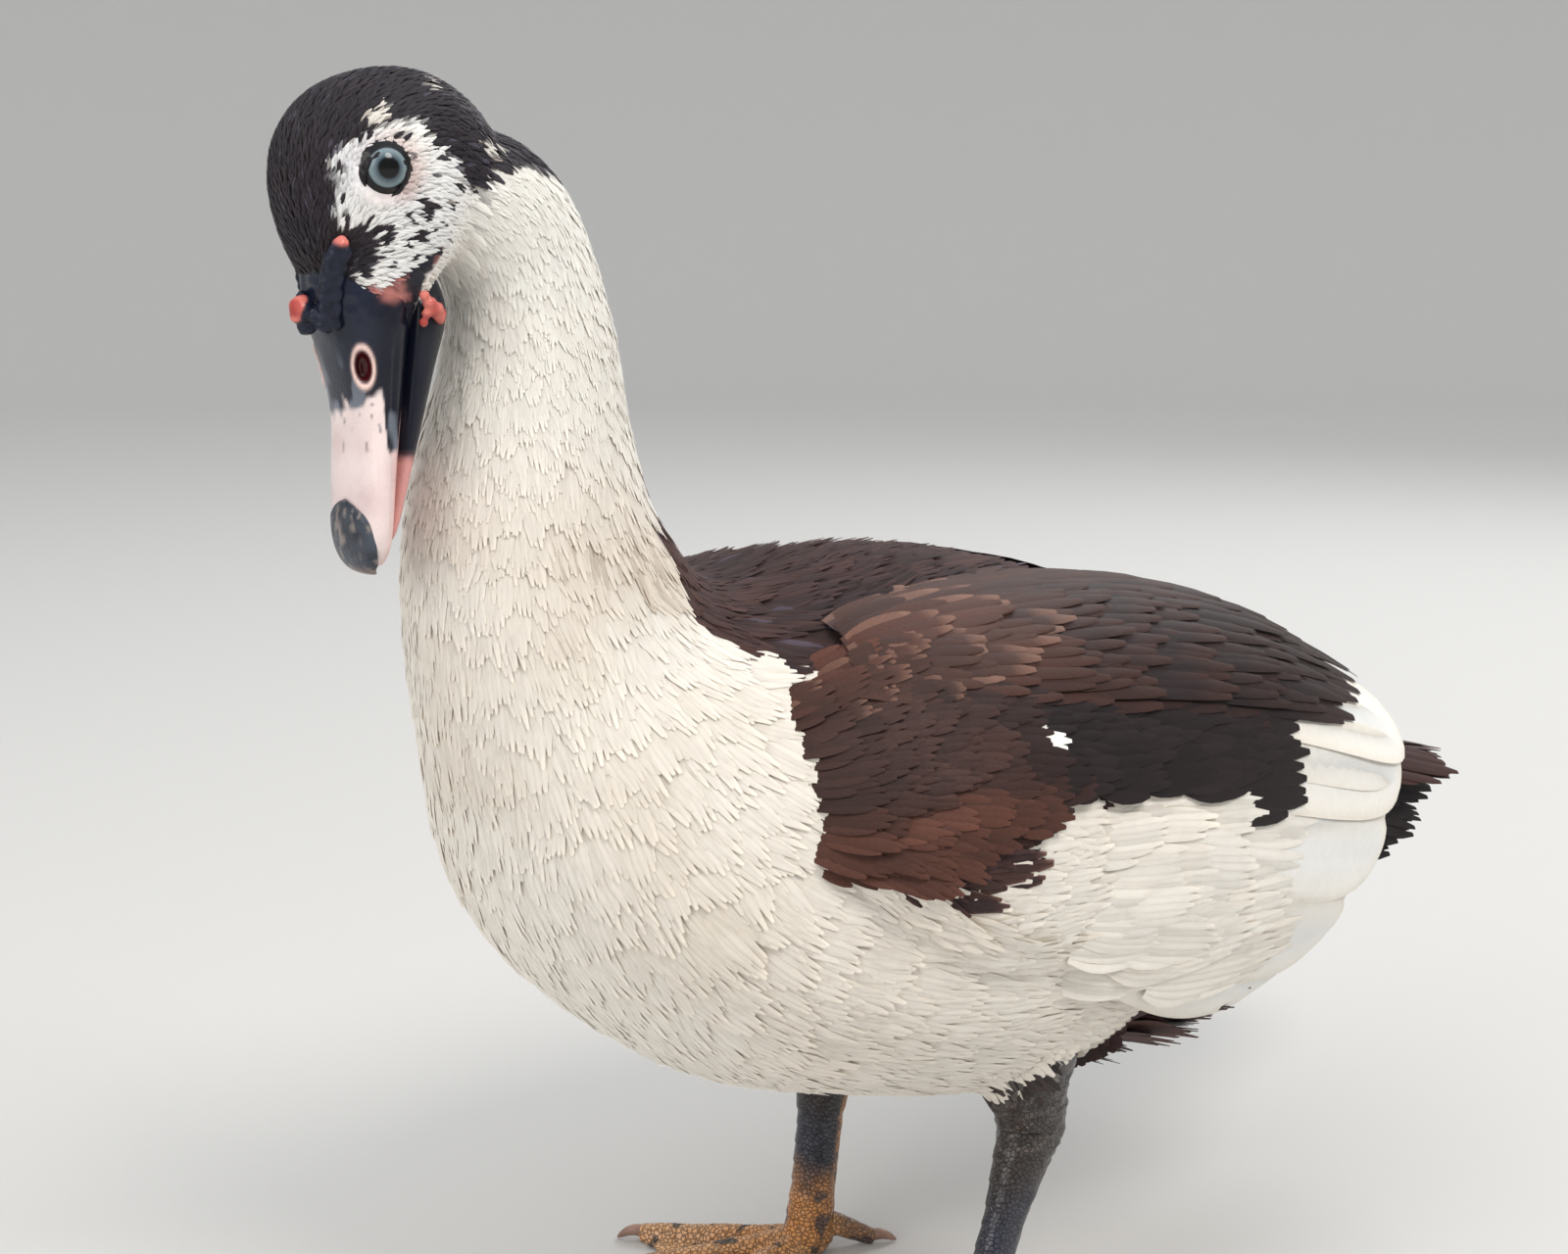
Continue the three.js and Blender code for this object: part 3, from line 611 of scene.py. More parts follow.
LIE = [
    (6, 178, 325, 0, -0.3, 0.95, 9),
    (6, 172, 345, 0, -0.7, 0.7, 9),
    (6, 158, 358, 0, -1, 0.1, 9),
    (6, 140, 353, 0, -0.8, -0.6, 10),
    (6, 120, 338, 0, -0.5, -0.85, 12),
    (24, 172, 330, -0.25, -0.2, 0.9, 7),
    (26, 160, 345, -0.2, -0.9, 0.4, 8),
    (24, 148, 335, 0.1, -1, -0.1, 8),
    (23, 156, 318, 0.1, -0.9, 0.15, 8),
    (23, 138, 325, 0.1, -0.8, -0.6, 9),
    (12, 150, 305, 0.1, -0.9, -0.4, 8),
    (4, 93, 300, 0, -0.1, -1, 16),
    (3, 88, 270, 0, -0.1, -1, 18),
    (1, 78, 243, 0, -0.5, -0.85, 14),
    (0, 55, 236, 0, -0.95, -0.25, 16),
    (0, 20, 236, 0, -1, 0, 22),
    (0, -50, 226, 0, -1, -0.1, 30),
    (0, -130, 200, 0, -1, -0.25, 30),
    (0, -180, 180, 0, -1, -0.2, 25),
    (26, 119, 300, 0, -0.1, -1, 14),
    (5, 142, 292, 0, -0.05, -1, 14),
    (3, 146, 262, 0, 0.05, -1, 16),
    (30, 116, 262, 0, -0.05, -1, 16),
    (36, 108, 236, 0.1, -0.3, -0.95, 16),
    (2, 147, 232, 0, 0, -1, 16),
    (0, 142, 196, 0, -0.15, -1, 18),
    (0, 124, 152, 0, -0.65, -0.75, 20),
    (0, 98, 124, 0, -0.85, -0.5, 22),
    (0, 50, 95, 0, -1, -0.15, 26),
    (0, 0, 80, 0, -1, 0, 28),
    (0, -60, 82, 0, -1, 0.1, 28),
    (0, -120, 105, 0, -1, 0.35, 28),
    (0, -175, 140, 0, -1, 0.5, 25),
    (44, 118, 200, 0.1, -0.35, -0.9, 18),
    (62, 96, 182, 0.1, -0.7, -0.6, 20),
    (74, 60, 160, 0, -0.95, -0.3, 24),
    (78, 0, 145, 0, -1, -0.1, 28),
    (74, -60, 145, 0, -1, 0.05, 28),
    (56, -120, 145, 0, -1, 0.2, 28),
    (52, 10, 100, 0, -0.95, -0.25, 16),
    (50, 80, 225, 0.35, -0.85, -0.4, 14),
    (50, 40, 222, 0.15, -1, -0.1, 18),
]
lie = np.array(LIE, float)
lie = np.concatenate([lie, (lie * [-1, 1, 1, -1, 1, 1, 1])[lie[:, 0] > 8]])
lie_spot, lie_way, lie_reach = at(*lie[:, :3].T), unit(at(*lie[:, 3:6].T)), lie[:, 6]
lie_table = list(zip(lie_spot, lie_way, lie_reach))
thigh_spot = [side_of(at(42, -18, 92), leg["sign"]) for leg in LEGS.values()]
THIGH_WAY = np.array([0, 0.15, -1.0]) * 1.6  # down the leg, stronger than the coat's own lie
THIGH_LIE = 15


def lie_at(points):
    """The way that feathers point at each place."""
    total = np.zeros_like(points)
    for spot, way, reach in lie_table:
        far = ((points - spot) ** 2).sum(-1, keepdims=True)
        total += way * (np.exp(-far / (2 * reach**2)) + 1e-7 / (far + 1))
    total = unit(total)
    for spot in thigh_spot:
        far = ((points - spot) ** 2).sum(-1, keepdims=True)
        total += THIGH_WAY * np.exp(-far / (2 * THIGH_LIE**2))
    return unit(total)


def off_thighs(points):
    """How far points are from the axis of each thigh, seen from above."""
    return [np.hypot(points[:, 0] - spot[0], points[:, 1] - spot[1]) for spot in thigh_spot]


# The bird's middle line, from the bill's root over the head and down the neck to the tail

SPINE = at(
    *np.array(
        [
            [6, 162, 309],
            [6, 155, 333],
            [6, 143, 348],
            [6, 131, 330],
            [5, 121, 313],
            [4, 117, 294],
            [3, 117, 272],
            [2, 115, 248],
            [1, 107, 222],
            [0, 90, 190],
            [0, 40, 158],
            [0, 0, 153],
            [0, -60, 150],
            [0, -130, 158],
            [0, -198, 165],
        ],
        float,
    ).T
)
HEAD_END, NAPE_END, NECK_END = 2.6, 4.2, 8.6  # places on the spine, counted by its points


def along_spine(points):
    """The place on the spine nearest to each point, counted by the spine's points."""
    best = np.full(len(points), 1e9)
    place = np.zeros(len(points))
    for i, (a, b) in enumerate(zip(SPINE[:-1], SPINE[1:])):
        t = np.clip(((points - a) @ (b - a)) / ((b - a) @ (b - a)), 0, 1)
        far = np.linalg.norm(points - (a + t[:, None] * (b - a)), axis=1)
        closer = far < best
        best[closer] = far[closer]
        place[closer] = i + t[closer]
    return place


# Markings, in linear colours

WHITE = colour("#f4eee4")
BRIGHT = colour("#f6f2ea")
CREAM = colour("#eee2d0")
COOL_WHITE = colour("#e8eaee")
STAIN = colour("#cbb092")
STREAK = colour("#7d6045")
BLACK = colour("#17131a")
SOOT = colour("#221a1e")
# VIOLET is the violet-grey of a painted sheen on the black feathers, and of the dust on a few of
# them
VIOLET = colour("#77718a")
MANTLE = colour("#2a1d1c")
RUSSET = colour("#472a21")
DARK = colour("#1a1112")
PALE_EDGE = colour("#96705f")
BLUSH = colour("#c9908a")
TAIL_BROWN = colour("#3a2420")
HOCK_BROWN = colour("#2d2523")
BILL_DARK = colour("#0f1220")
SALMON = colour("#d0766b")
PATCH = colour("#b8746d")

# How far ahead the mantle and the wing's brown begin, by the angle from the top of the back
BROWN_EDGE = [(0, 98), (20, 94), (31, 82), (42, 72), (60, 72), (75, 74), (84, 66), (93, 50)]
# The lower edge of the wing's brown and black, as an angle on the shell, by how far ahead
WING_LOW = [
    (-90, 84), (-60, 82), (-42, 81), (-25, 75), (5, 73.5), (20, 80), (37, 88), (50, 91), (76, 90),
]

# The white face reaches up to here, by how far ahead; behind the eye the black comes down to here
FACE_TOP = [(-12, 3), (-9, 8), (-2, 15), (6, 18), (12.6, 14.1), (19.4, 9.4), (24, 4), (30, -1)]
CAP_REAR = [
    (-40, -26), (-33, -19), (-26, -17), (-20, -14), (-16, -8), (-12, -3), (-6, -4.5), (0, -7),
    (8, -10), (16, -8),
]
# Small white patches in the black, as how far ahead, up and how wide
CHIPS = [(-8.5, 14, 1.6), (-5.4, 15, 1.2), (-19, 5, 1.1), (-14.4, -12.6, 2.0), (-17, -16, 1.6)]


EYE_AHEAD, EYE_UP = 5.2, 8.5
FACE_SIDE = (8, 11)  # how far to the side the face's bare patches begin


def head_marks(points):
    """Black cap, white face with black flecks, and the white of cheek and throat."""
    left, ahead, up = in_head(points)
    ragged = 2.8 * (noise(points, 3.4, 3) - 0.5) + 1.8 * (noise(points, 1.3, 4) - 0.5)
    face = smooth(-0.7, 0.7, curve(ahead, FACE_TOP) - up + ragged)
    rear = smooth(-0.7, 0.7, ahead - curve(up, CAP_REAR) + 1.3 * ragged)
    white = face * rear
    white *= smooth(5.5, 8.0, np.abs(left) + 0.5 * np.clip(-up, 0, 30) + ragged)
    lumps = noise(points, 1.9, 8) * 0.55 + noise(points, 0.95, 9) * 0.45
    # flecks gather below and behind the eye, along the edge of the cap and before the eye
    below = hump((up + 4.5) / 5.0, (ahead - 9) / 11)
    lore = hump((ahead - 20.2) / 5.0, (up - 5.0) / 3.4)
    brow = hump((ahead + 5) / 4.0, (up - 4) / 9)
    spots = smooth(0.0, 0.04, lumps - 0.665 + 0.15 * below + 0.75 * lore + 0.1 * brow)
    spots *= smooth(-17, -12, up) * smooth(6.2, 8.2, np.hypot(ahead - EYE_AHEAD, up - EYE_UP))
    dark = tinge(BLACK, SOOT, noise(points, 6, 5))
    for chip_ahead, chip_up, reach in CHIPS:
        far = np.hypot(ahead - chip_ahead, up - chip_up) + 1.2 * ragged
        dark = tinge(dark, WHITE, 0.8 * smooth(reach, 0.5 * reach, far) * (left > 0))
    cool = noise(points, 9, 6) * smooth(-22, -10, up) * smooth(-20, -8, ahead)
    light = tinge(BRIGHT, COOL_WHITE, cool)
    rose = smooth(10, 5.5, np.hypot(ahead - 3, up - 8)) * noise(points, 4, 7)
    light = tinge(light, BLUSH, 0.55 * rose)
    tone = tinge(dark, tinge(light, dark, spots), white)
    # bare skin at the bill's root: slate, with a salmon patch before the cheek
    aside = smooth(*FACE_SIDE, np.abs(left))
    rosy = smooth(5.4, 3.6, np.hypot(0.85 * (ahead - 25.5), up + 5.6) + ragged) * aside
    gape = smooth(-13, -15, up + ragged) * aside * smooth(21.5, 19.5, ahead)
    bare = tinge(BILL_DARK, PATCH, 0.9 * np.maximum(rosy, 0.8 * gape))
    return tinge(tone, bare, bare_face(points).astype(float))


THIGH_REACH = 27  # the thigh's coat is this wide, seen from above
THIGH_TOP, HOCK_TOP = 102, 98  # below these heights the leg is dark, and bare


def marks(points):
    """The coat's colour at each place, from its markings alone."""
    ahead, angle = shell_place(points)
    place = along_spine(points)
    height = points[:, 2]
    big, mid, small = noise(points, 38, 21), noise(points, 15, 22), noise(points, 6, 23)
    tone = tinge(WHITE, CREAM, 0.5 * big + 0.2 * mid)
    # warm stains at the neck's root and on the breast
    root = hump((height - 249) / 19) * mix(0.5, 1, smooth(142, 118, ahead))
    breast = hump((height - 195) / 45) * smooth(40, 120, ahead)
    stain = smooth(0.4, 0.8, 0.5 * big + 0.5 * mid + 0.32 * root + 0.05 * breast) * 0.75
    tone = tinge(tone, STAIN, 0.62 * stain * np.clip(root + 0.3 * breast, 0, 1))
    upper = smooth(225, 300, height) * smooth(NECK_END, NECK_END - 1, place)
    tone = tinge(tone, BRIGHT, 0.75 * upper)
    # dark specks down the back of the neck
    nape = smooth(10, 6, np.abs(points[:, 0] - 4)) * smooth(122, 116, ahead + 0.25 * (height - 300))
    nape = smooth(0.5, 0.54, small + 0.4 * (mid - 0.5)) * nape * smooth(262, 268, height)
    tone = tinge(tone, BLACK, nape * (place > 3))
    # mantle and back
    edge = curve(angle, BROWN_EDGE) + 7 * (mid - 0.5) + 5 * (small - 0.5)
    brown = smooth(0.5, -0.5, ahead - edge) * smooth(96, 94, angle + 6 * (small - 0.5))
    limit = curve(ahead, WING_LOW) + 5 * (small - 0.5)
    brown *= np.maximum(smooth(0.6, -0.6, angle - limit), smooth(70, 76, ahead))
    backs = tinge(MANTLE, RUSSET, 0.5 * mid + 0.35 * smooth(70, 92, ahead))
    tone = tinge(tone, backs, brown > 0.5)
    # rump, vent and under tail
    vent = smooth(-84, -98, ahead + 22 * smooth(150, 95, angle) + 10 * (mid - 0.5))
    vent *= smooth(62, 80, angle)
    rump = smooth(-60, -90, ahead) * smooth(90, 70, angle)
    under = smooth(-36, -42, ahead + 8 * (mid - 0.5)) * smooth(100, 107, angle)
    dark = tinge(DARK, TAIL_BROWN, mid + 0.6 * big * under)
    tone = tinge(tone, dark, np.maximum(np.maximum(vent, rump), under))
    for far in off_thighs(points):
        tone = tinge(tone, HOCK_BROWN, smooth(24, 21, far) * smooth(THIGH_TOP, 99, height))
    head = place < NAPE_END
    if head.any():
        _, along, up = in_head(points[head])
        near = smooth(-46, -41, up) * smooth(-44, -36, along)
        tone[head] = tinge(tone[head], head_marks(points[head]), near)
    return tone


# Feathers


def vane_faces(count, stations, columns):
    """The faces of vanes: their tops, their flat undersides, and their first and last ends."""
    each = stations * columns
    base = (np.arange(count) * each)[:, None, None]
    cell = (np.arange(stations - 1) * columns)[None, :, None]
    across = np.arange(columns - 1)[None, None]
    a = (base + cell + across).reshape(-1)
    b = (base + cell).reshape(-1)
    first = np.arange(count)[:, None] * each + np.arange(columns)[None, ::-1]
    last = np.arange(count)[:, None] * each + each - columns + np.arange(columns)[None]
    top = np.stack([a, a + 1, a + columns + 1, a + columns], -1)
    return [top, np.stack([b, b + columns, b + 2 * columns - 1, b + columns - 1], -1), first, last]


BARB_UNIT = 40  # the length in millimetres that the Vane map shows as 1
PATCH_SIZE = 0.003  # the size of each vane's patch in the map that the colours are baked by


def feathers(name, line, normal, side, width, tint, root_place, crown, columns, tilt):
    """Closed vanes as one object. Each has stations along its line, with a half width at each,
    and a colour at each station and column. Its outline is a sharp edge, and it is shaded by the
    lie of the plumage, tilted a little to either side of its shaft."""
    count, stations, _ = line.shape
    u = np.linspace(-1, 1, columns)
    reach = np.repeat(width[:, :, None], columns, 2)
    rise = crown * width[:, :, None] * (1 - u**2)
    points = (
        line[:, :, None]
        + side[:, :, None] * (u * reach)[..., None]
        + normal[:, :, None] * rise[..., None]
    )
    groups = vane_faces(count, stations, columns)
    thing = new_object(name, points.reshape(-1, 3), groups)
    mesh = thing.data
    column = edges_of(mesh) % columns
    rim = ((column == 0) | (column == columns - 1)).all(1)
    mesh.attributes.new("sharp_edge", "BOOLEAN", "EDGE").data.foreach_set("value", rim)
    looks = unit(normal[:, :, None] + side[:, :, None] * (tilt * u)[None, None, :, None])
    corners = np.concatenate([group.ravel() for group in groups])
    facing = np.ones(len(corners))
    top, under = groups[:2]
    facing[top.size : top.size + under.size] = -1
    mesh.normals_split_custom_set(looks.reshape(-1, 3)[corners] * facing[:, None])
    paint(thing, np.broadcast_to(tint, (count, stations, columns, 3)).reshape(-1, 3))
    steps = np.cumsum(np.linalg.norm(np.diff(line, axis=1), axis=2), 1)
    run = np.concatenate([np.zeros((count, 1)), steps], 1)
    length = np.repeat(run[:, :, None], columns, 2)
    barbs = np.stack([u * reach / BARB_UNIT + 0.5, length / BARB_UNIT], -1)
    map_uv(thing, "Vane", barbs.reshape(-1, 2))
    share = (run / np.maximum(run[:, -1:], 1e-6))[:, :, None]
    patch = np.stack(np.broadcast_arrays((u * 0.5 + 0.5)[None, None], share), -1)
    places = 0.002 + root_place[:, None, None] * 0.993 + patch * PATCH_SIZE
    map_uv(thing, "OFBake", places.reshape(-1, 2))
    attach(thing, "root")
    return thing


def skin_place(points):
    """A place on an unwrap of the skin: round the bird, and along its spine."""
    place = along_spine(points)
    i = np.clip(place.astype(int), 0, len(SPINE) - 2)
    centre = mix(SPINE[i], SPINE[i + 1], (place - i)[:, None])
    way = unit(SPINE[i + 1] - SPINE[i])
    out = points - centre
    down = np.cross(np.array([1.0, 0, 0]), way)
    turn = np.arctan2((out * down).sum(1), out[:, 0])
    return np.stack([turn / (2 * math.pi) + 0.5, place / (len(SPINE) - 1)], -1)


TRIES, GAP_SHARE = 7, 0.82


def thinned(spots, gaps):
    """The numbers of the places that stay when each keeps its gap from those before it."""
    cell_size = gaps.max()
    cells = {}
    chosen = []
    keys = np.floor(spots / cell_size).astype(int)
    near = [(x, y, z) for x in (-1, 0, 1) for y in (-1, 0, 1) for z in (-1, 0, 1)]

    def crowded(key, spot, limit):
        kx, ky, kz = key
        for dx, dy, dz in near:
            for other in cells.get((kx + dx, ky + dy, kz + dz), ()):
                x, y, z = other[0] - spot[0], other[1] - spot[1], other[2] - spot[2]
                if x * x + y * y + z * z < limit:
                    return True
        return False

    for n, (key, spot, limit) in enumerate(zip(keys.tolist(), spots.tolist(), (gaps**2).tolist())):
        if not crowded(key, spot, limit):
            cells.setdefault(tuple(key), []).append(spot)
            chosen.append(n)
    return chosen


def scatter(spacing, keep, seed):
    """Places on the skin, no closer than their spacing, where keep is true."""
    own = np.random.default_rng(seed)
    areas = surface["areas"].astype(float) / MM**2
    middles = np.array([corners.mean(0) for corners in surface["corners"]])
    gap = spacing(middles)
    wanted = areas / gap**2 * keep(middles)
    number = own.poisson(wanted * TRIES)
    face = np.repeat(np.arange(len(areas)), number)
    own.shuffle(face)
    corners = np.array([c if len(c) == 4 else np.vstack([c, c[-1:]]) for c in surface["corners"]])
    s, t = own.random((2, len(face), 1))
    c = corners[face]
    spots = mix(mix(c[:, 0], c[:, 1], s), mix(c[:, 3], c[:, 2], s), t)
    chosen = thinned(spots, gap[face] * GAP_SHARE)
    return spots[chosen], surface["normals"][face[chosen]]


def lay(roots, normals, length, stations, lift, yaw, stand):
    """Lines that follow the lie of the coat over the skin, with their normals and sides. The lift
    is the height over the skin of each feather's stations, and the tips stand up by a share."""
    count = len(roots)
    line = np.zeros((count, stations, 3))
    up = np.zeros((count, stations, 3))
    step = (length / (stations - 1))[:, None]
    spots, faces = roots.copy(), normals.copy()
    turn_c, turn_s = np.cos(yaw)[:, None], np.sin(yaw)[:, None]
    for k in range(stations):
        line[:, k], up[:, k] = spots, faces
        if k + 1 < stations:
            way = lie_at(spots)
            way = unit(way - faces * (way * faces).sum(1, keepdims=True))
            way = way * turn_c + np.cross(faces, way) * turn_s
            spots, faces = settle(spots + way * step)
    line = line + up * lift[..., None]
    share = np.linspace(0, 1, stations)[None, :, None] ** 2
    line = line + up * share * stand * length[:, None, None]
    ways = np.gradient(line, axis=1)
    side = unit(np.cross(ways, up))
    up = unit(np.cross(side, ways))
    return line, up, side


def by_spine(table, points):
    """Values of a table at each point's place along the spine."""
    place = along_spine(points)
    rows = np.array(table, float)
    return [np.interp(place, rows[:, 0], rows[:, k]) for k in range(1, rows.shape[1])]


# Place on the spine, spacing, length, half width, height of the tip over the skin, and the
# radius of the body's own curve there. The head's feathers are single vanes up to 2.6, and
# beyond it each is a fan of blades.
COAT = [
    (0, 0.8, 3.2, 0.40, 0.5, 14),
    (1, 0.84, 3.8, 0.44, 0.6, 17),
    (2, 0.95, 5.0, 0.52, 0.8, 18),
    (2.59, 1.1, 6.0, 0.6, 0.85, 18),
    (2.6, 1.35, 7.0, 0.95, 0.85, 18),
    (3.6, 1.9, 10, 1.5, 1.1, 19),
    (5, 2.5, 14, 2.3, 1.3, 22),
    (7, 3.2, 20, 3.4, 1.6, 30),
    (8.6, 4.4, 27, 5.0, 2.2, 60),
    (10, 5.3, 35, 7.0, 2.6, 75),
    (14, 5.5, 38, 7.4, 2.8, 60),
]
LID_AHEAD, LID_OVAL, LID_REACH = 5.8, 1.12, 5.0


def eye_clear(points):
    """True outside the lids of either eye, seen from the side."""
    _, ahead, up = in_head(points)
    return np.hypot((ahead - LID_AHEAD) / LID_OVAL, up - EYE_UP) > LID_REACH


def bare_face(points):
    """True on the bare skin at the bill's root, along the gape and in front of the eye."""
    left, ahead, up = in_head(points)
    edge = 29.5 - 9.5 * smooth(9, 14, np.abs(left)) * smooth(-2, -9, up) + 1.6 * np.sin(left * 0.9)
    edge = edge - 3.0 * smooth(9, 13, np.abs(left)) * smooth(12, 6, up)
    edge = edge - 6.5 * smooth(-7, -12, up) * smooth(5, 9, np.abs(left))
    return (ahead > edge) & (up > -26)


def under_wing(points):
    """True where the wing's own feathers hide the body."""
    ahead, angle = shell_place(points)
    low = np.where(ahead < -34, 100, curve(ahead, WING_LOW) - 9)
    return (ahead < 57) & (ahead > -120) & (angle > 34) & (angle < low) & (points[:, 2] > 100)


ROOT_WIDTH, WIDEST = 0.5, 0.6  # a vane's width at its root, and how far along it is widest


def tuft_width(stations, blunt):
    """Half widths along a feather, as shares of its widest."""
    v = np.linspace(0, 1, stations)
    shape = ROOT_WIDTH + (1 - ROOT_WIDTH) * np.sin(np.clip(v / WIDEST, 0, 1) * math.pi / 2)
    tip = np.sqrt(np.clip(1 - np.clip((v - WIDEST) / (1.02 - WIDEST), 0, 1) ** blunt, 0, 1))
    return shape * tip


def fans(line, up, side, half, blades, own, sag, spread=0.35):
    """Splits each feather into blades side by side, closed up at its root and fanned to its tip."""
    count, stations, _ = line.shape
    v = np.linspace(0, 1, stations)
    u = np.linspace(-1, 1, blades)[None] + own.uniform(-0.12, 0.12, (count, blades))
    open_out = mix(spread, 1, np.sin(np.clip(v / 0.55, 0, 1) * math.pi / 2))
    reach = u[..., None] * open_out * half[:, None, None]
    end = 1 - 0.3 * np.abs(u) ** 2.2 - own.uniform(0, 0.12, (count, blades))
    # each blade ends at its own share of the feather's line
    place = end[..., None] * v * (stations - 1)
    i = np.clip(place.astype(int), 0, stations - 2)
    t = (place - i)[..., None]
    row = np.arange(count)[:, None, None]
    middle, normal, aside = (mix(x[row, i], x[row, i + 1], t) for x in (line, up, side))
    normal, aside = unit(normal), unit(aside)
    droop = -(reach**2) / (2 * sag[:, None, None]) + own.normal(0, 0.05, (count, blades, 1)) * v
    spots = middle + aside * reach[..., None] + normal * droop[..., None]
    shape = (count * blades, stations, 3)
    return spots.reshape(shape), normal.reshape(shape), aside.reshape(shape)


def coat_piece(
    name, keep, seed, stations, blades, made,
    table=COAT, yaw=0.1, stand=0.0, blunt=1.7, tilt=0.2, darkest=False,
):
    """A part of the coat: feathers scattered over the skin, each a fan of narrow blades."""
    own = np.random.default_rng(seed + 1)
    roots, normals = scatter(lambda spots: by_spine(table, spots)[0], keep, seed)
    _, length, half, height, sag = by_spine(table, roots)
    count = len(roots)
    length = length * own.uniform(0.82, 1.15, count)
    for far in off_thighs(roots):
        # over the legs the feathers stop at the hock
        short = np.minimum(length, np.maximum(roots[:, 2] - HOCK_TOP, 3))
        length = np.where(far < THIGH_REACH, short, length)
    # short feathers ring the eye
    _, ahead, up = in_head(roots)
    length = length * mix(0.5, 1, smooth(5, 11, np.hypot(ahead - EYE_AHEAD, up - EYE_UP)))
    half = half * own.uniform(0.88, 1.1, count)
    # the coat stands thicker on the top of the back
    along, angle = shell_place(roots)
    height = height + 3.2 * smooth(34, 24, angle) * smooth(84, 64, along) * smooth(-130, -90, along)
    height = height[:, None] * own.uniform(0.85, 1.12, (count, 1))
    lift = mix(-0.3 * height, height, np.linspace(0, 1, stations)[None] ** 0.8)
    turn = own.normal(0, yaw, count)
    line, up, side = lay(roots, normals, length, stations, lift, turn, stand)
    tint = marks(mix(roots, line[:, -1], 0.5))
    if darkest:
        tint = np.minimum(tint, TAIL_BROWN * own.uniform(0.8, 1.3, (count, 1)))
    places = skin_place(roots)
    if blades > 1:
        line, up, side = fans(line, up, side, half, blades, own, sag)
        half = half * 2.1 / blades
        half, tint, places = (np.repeat(x, blades, 0) for x in (half, tint, places))
    width = half[:, None] * tuft_width(stations, blunt)[None]
    tint = own_tints(tint, line, own)
    thing = feathers(name, line, up, side, width, tint, places, 0.2, 3, tilt)
    return dress(thing, made)


def own_tints(tint, line, own):
    """A colour for each station of each blade: light ones brighten to the tip, dark ones vary by a
    painted sheen.
    """
    count, stations, _ = line.shape
    v = np.linspace(0, 1, stations)[None, :, None, None]
    base = tint[:, None, None, :] * own.uniform(0.95, 1.04, (count, 1, 1, 1))
    light = (tint.mean(1) > 0.3)[:, None, None, None]
    # single blades in the stained parts are brown threads
    stained = np.clip((WHITE[2] - tint[:, 2] - 0.11) / 0.08, 0, 1) * light[:, 0, 0, 0]
    thread = own.random(count) < 0.28 * stained
    base = mix(base, STREAK, (0.3 * thread)[:, None, None, None])
    pale = mix(base * np.array([0.96, 0.94, 0.91]), np.minimum(base * 1.03, 0.95), v**0.7)
    # painted sheen on the dark blades: each is made lighter or darker at random and tinged faintly
    # violet, and lightens toward the tip; the few frosted ones are dusty, with more violet-grey
    sheen = own.uniform(0.65, 1.5, (count, 1, 1, 1))
    frosted = own.random((count, 1, 1, 1)) < 0.03
    violet = np.where(frosted, 0.22, 0.03 * own.random((count, 1, 1, 1)))
    glossy = mix(base * sheen, VIOLET, violet)
    return np.where(light, pale, np.clip(glossy * mix(0.85, 1.15, v), 0, 1))


# Materials


def set_sockets(node, values):
    """Sets a node's inputs by name, with underscores for the spaces."""
    for key, value in values.items():
        node.inputs[key.replace("_", " ")].default_value = value


def material(name, roughness, build=None, **sockets):
    """A material, with values for its shader and, from a build function, more nodes."""
    made = bpy.data.materials.new(name)
    made.use_nodes = True
    shader = made.node_tree.nodes["Principled BSDF"]
    set_sockets(shader, {"Roughness": roughness, **sockets})
    if build:
        build(made.node_tree.nodes, made.node_tree.links, shader)
    return made


def new_node(nodes, kind, **sockets):
    """A node of a kind, with values for its inputs."""
    made = nodes.new("ShaderNode" + kind)
    set_sockets(made, sockets)
    return made


def math_node(nodes, links, operation, a, b=None):
    """The result of a sum on sockets and numbers."""
    made = nodes.new("ShaderNodeMath")
    made.operation = operation
    for socket, value in zip(made.inputs, (a, b)):
        if isinstance(value, (int, float)):
            socket.default_value = value
        elif value is not None:
            links.new(value, socket)
    return made.outputs[0]


def shaded(nodes, links, tone, value, **span):
    """A colour made darker and lighter by a value, which is first mapped to a span."""
    level = new_node(nodes, "MapRange", **span)
    links.new(value, level.inputs["Value"])
    scaled = nodes.new("ShaderNodeVectorMath")
    scaled.operation = "SCALE"
    links.new(tone, scaled.inputs[0])
    links.new(level.outputs["Result"], scaled.inputs["Scale"])
    return scaled.outputs[0]


def tinted(nodes, links, strength, size):
    """The stored colour, made a little lighter and darker by noise of a size."""
    stored = nodes.new("ShaderNodeAttribute")
    stored.attribute_name = "Tint"
    lumps = new_node(nodes, "TexNoise", Scale=1 / size, Detail=4.0)
    links.new(nodes.new("ShaderNodeTexCoord").outputs["Object"], lumps.inputs["Vector"])
    span = {"To_Min": 1 - strength, "To_Max": 1 + strength}
    return shaded(nodes, links, stored.outputs["Color"], lumps.outputs["Fac"], **span)


def cells(nodes, links, size, feature="F1"):
    """The distance in cells of a size."""
    made = new_node(nodes, "TexVoronoi", Scale=1 / size)
    made.feature = feature
    links.new(nodes.new("ShaderNodeTexCoord").outputs["Object"], made.inputs["Vector"])
    return made.outputs["Distance"]


def relief(nodes, links, shader, height, strength, distance):
    """Bumps on the surface from a height."""
    bump = new_node(nodes, "Bump", Strength=strength, Distance=distance)
    links.new(height, bump.inputs["Height"])
    links.new(bump.outputs[0], shader.inputs["Normal"])


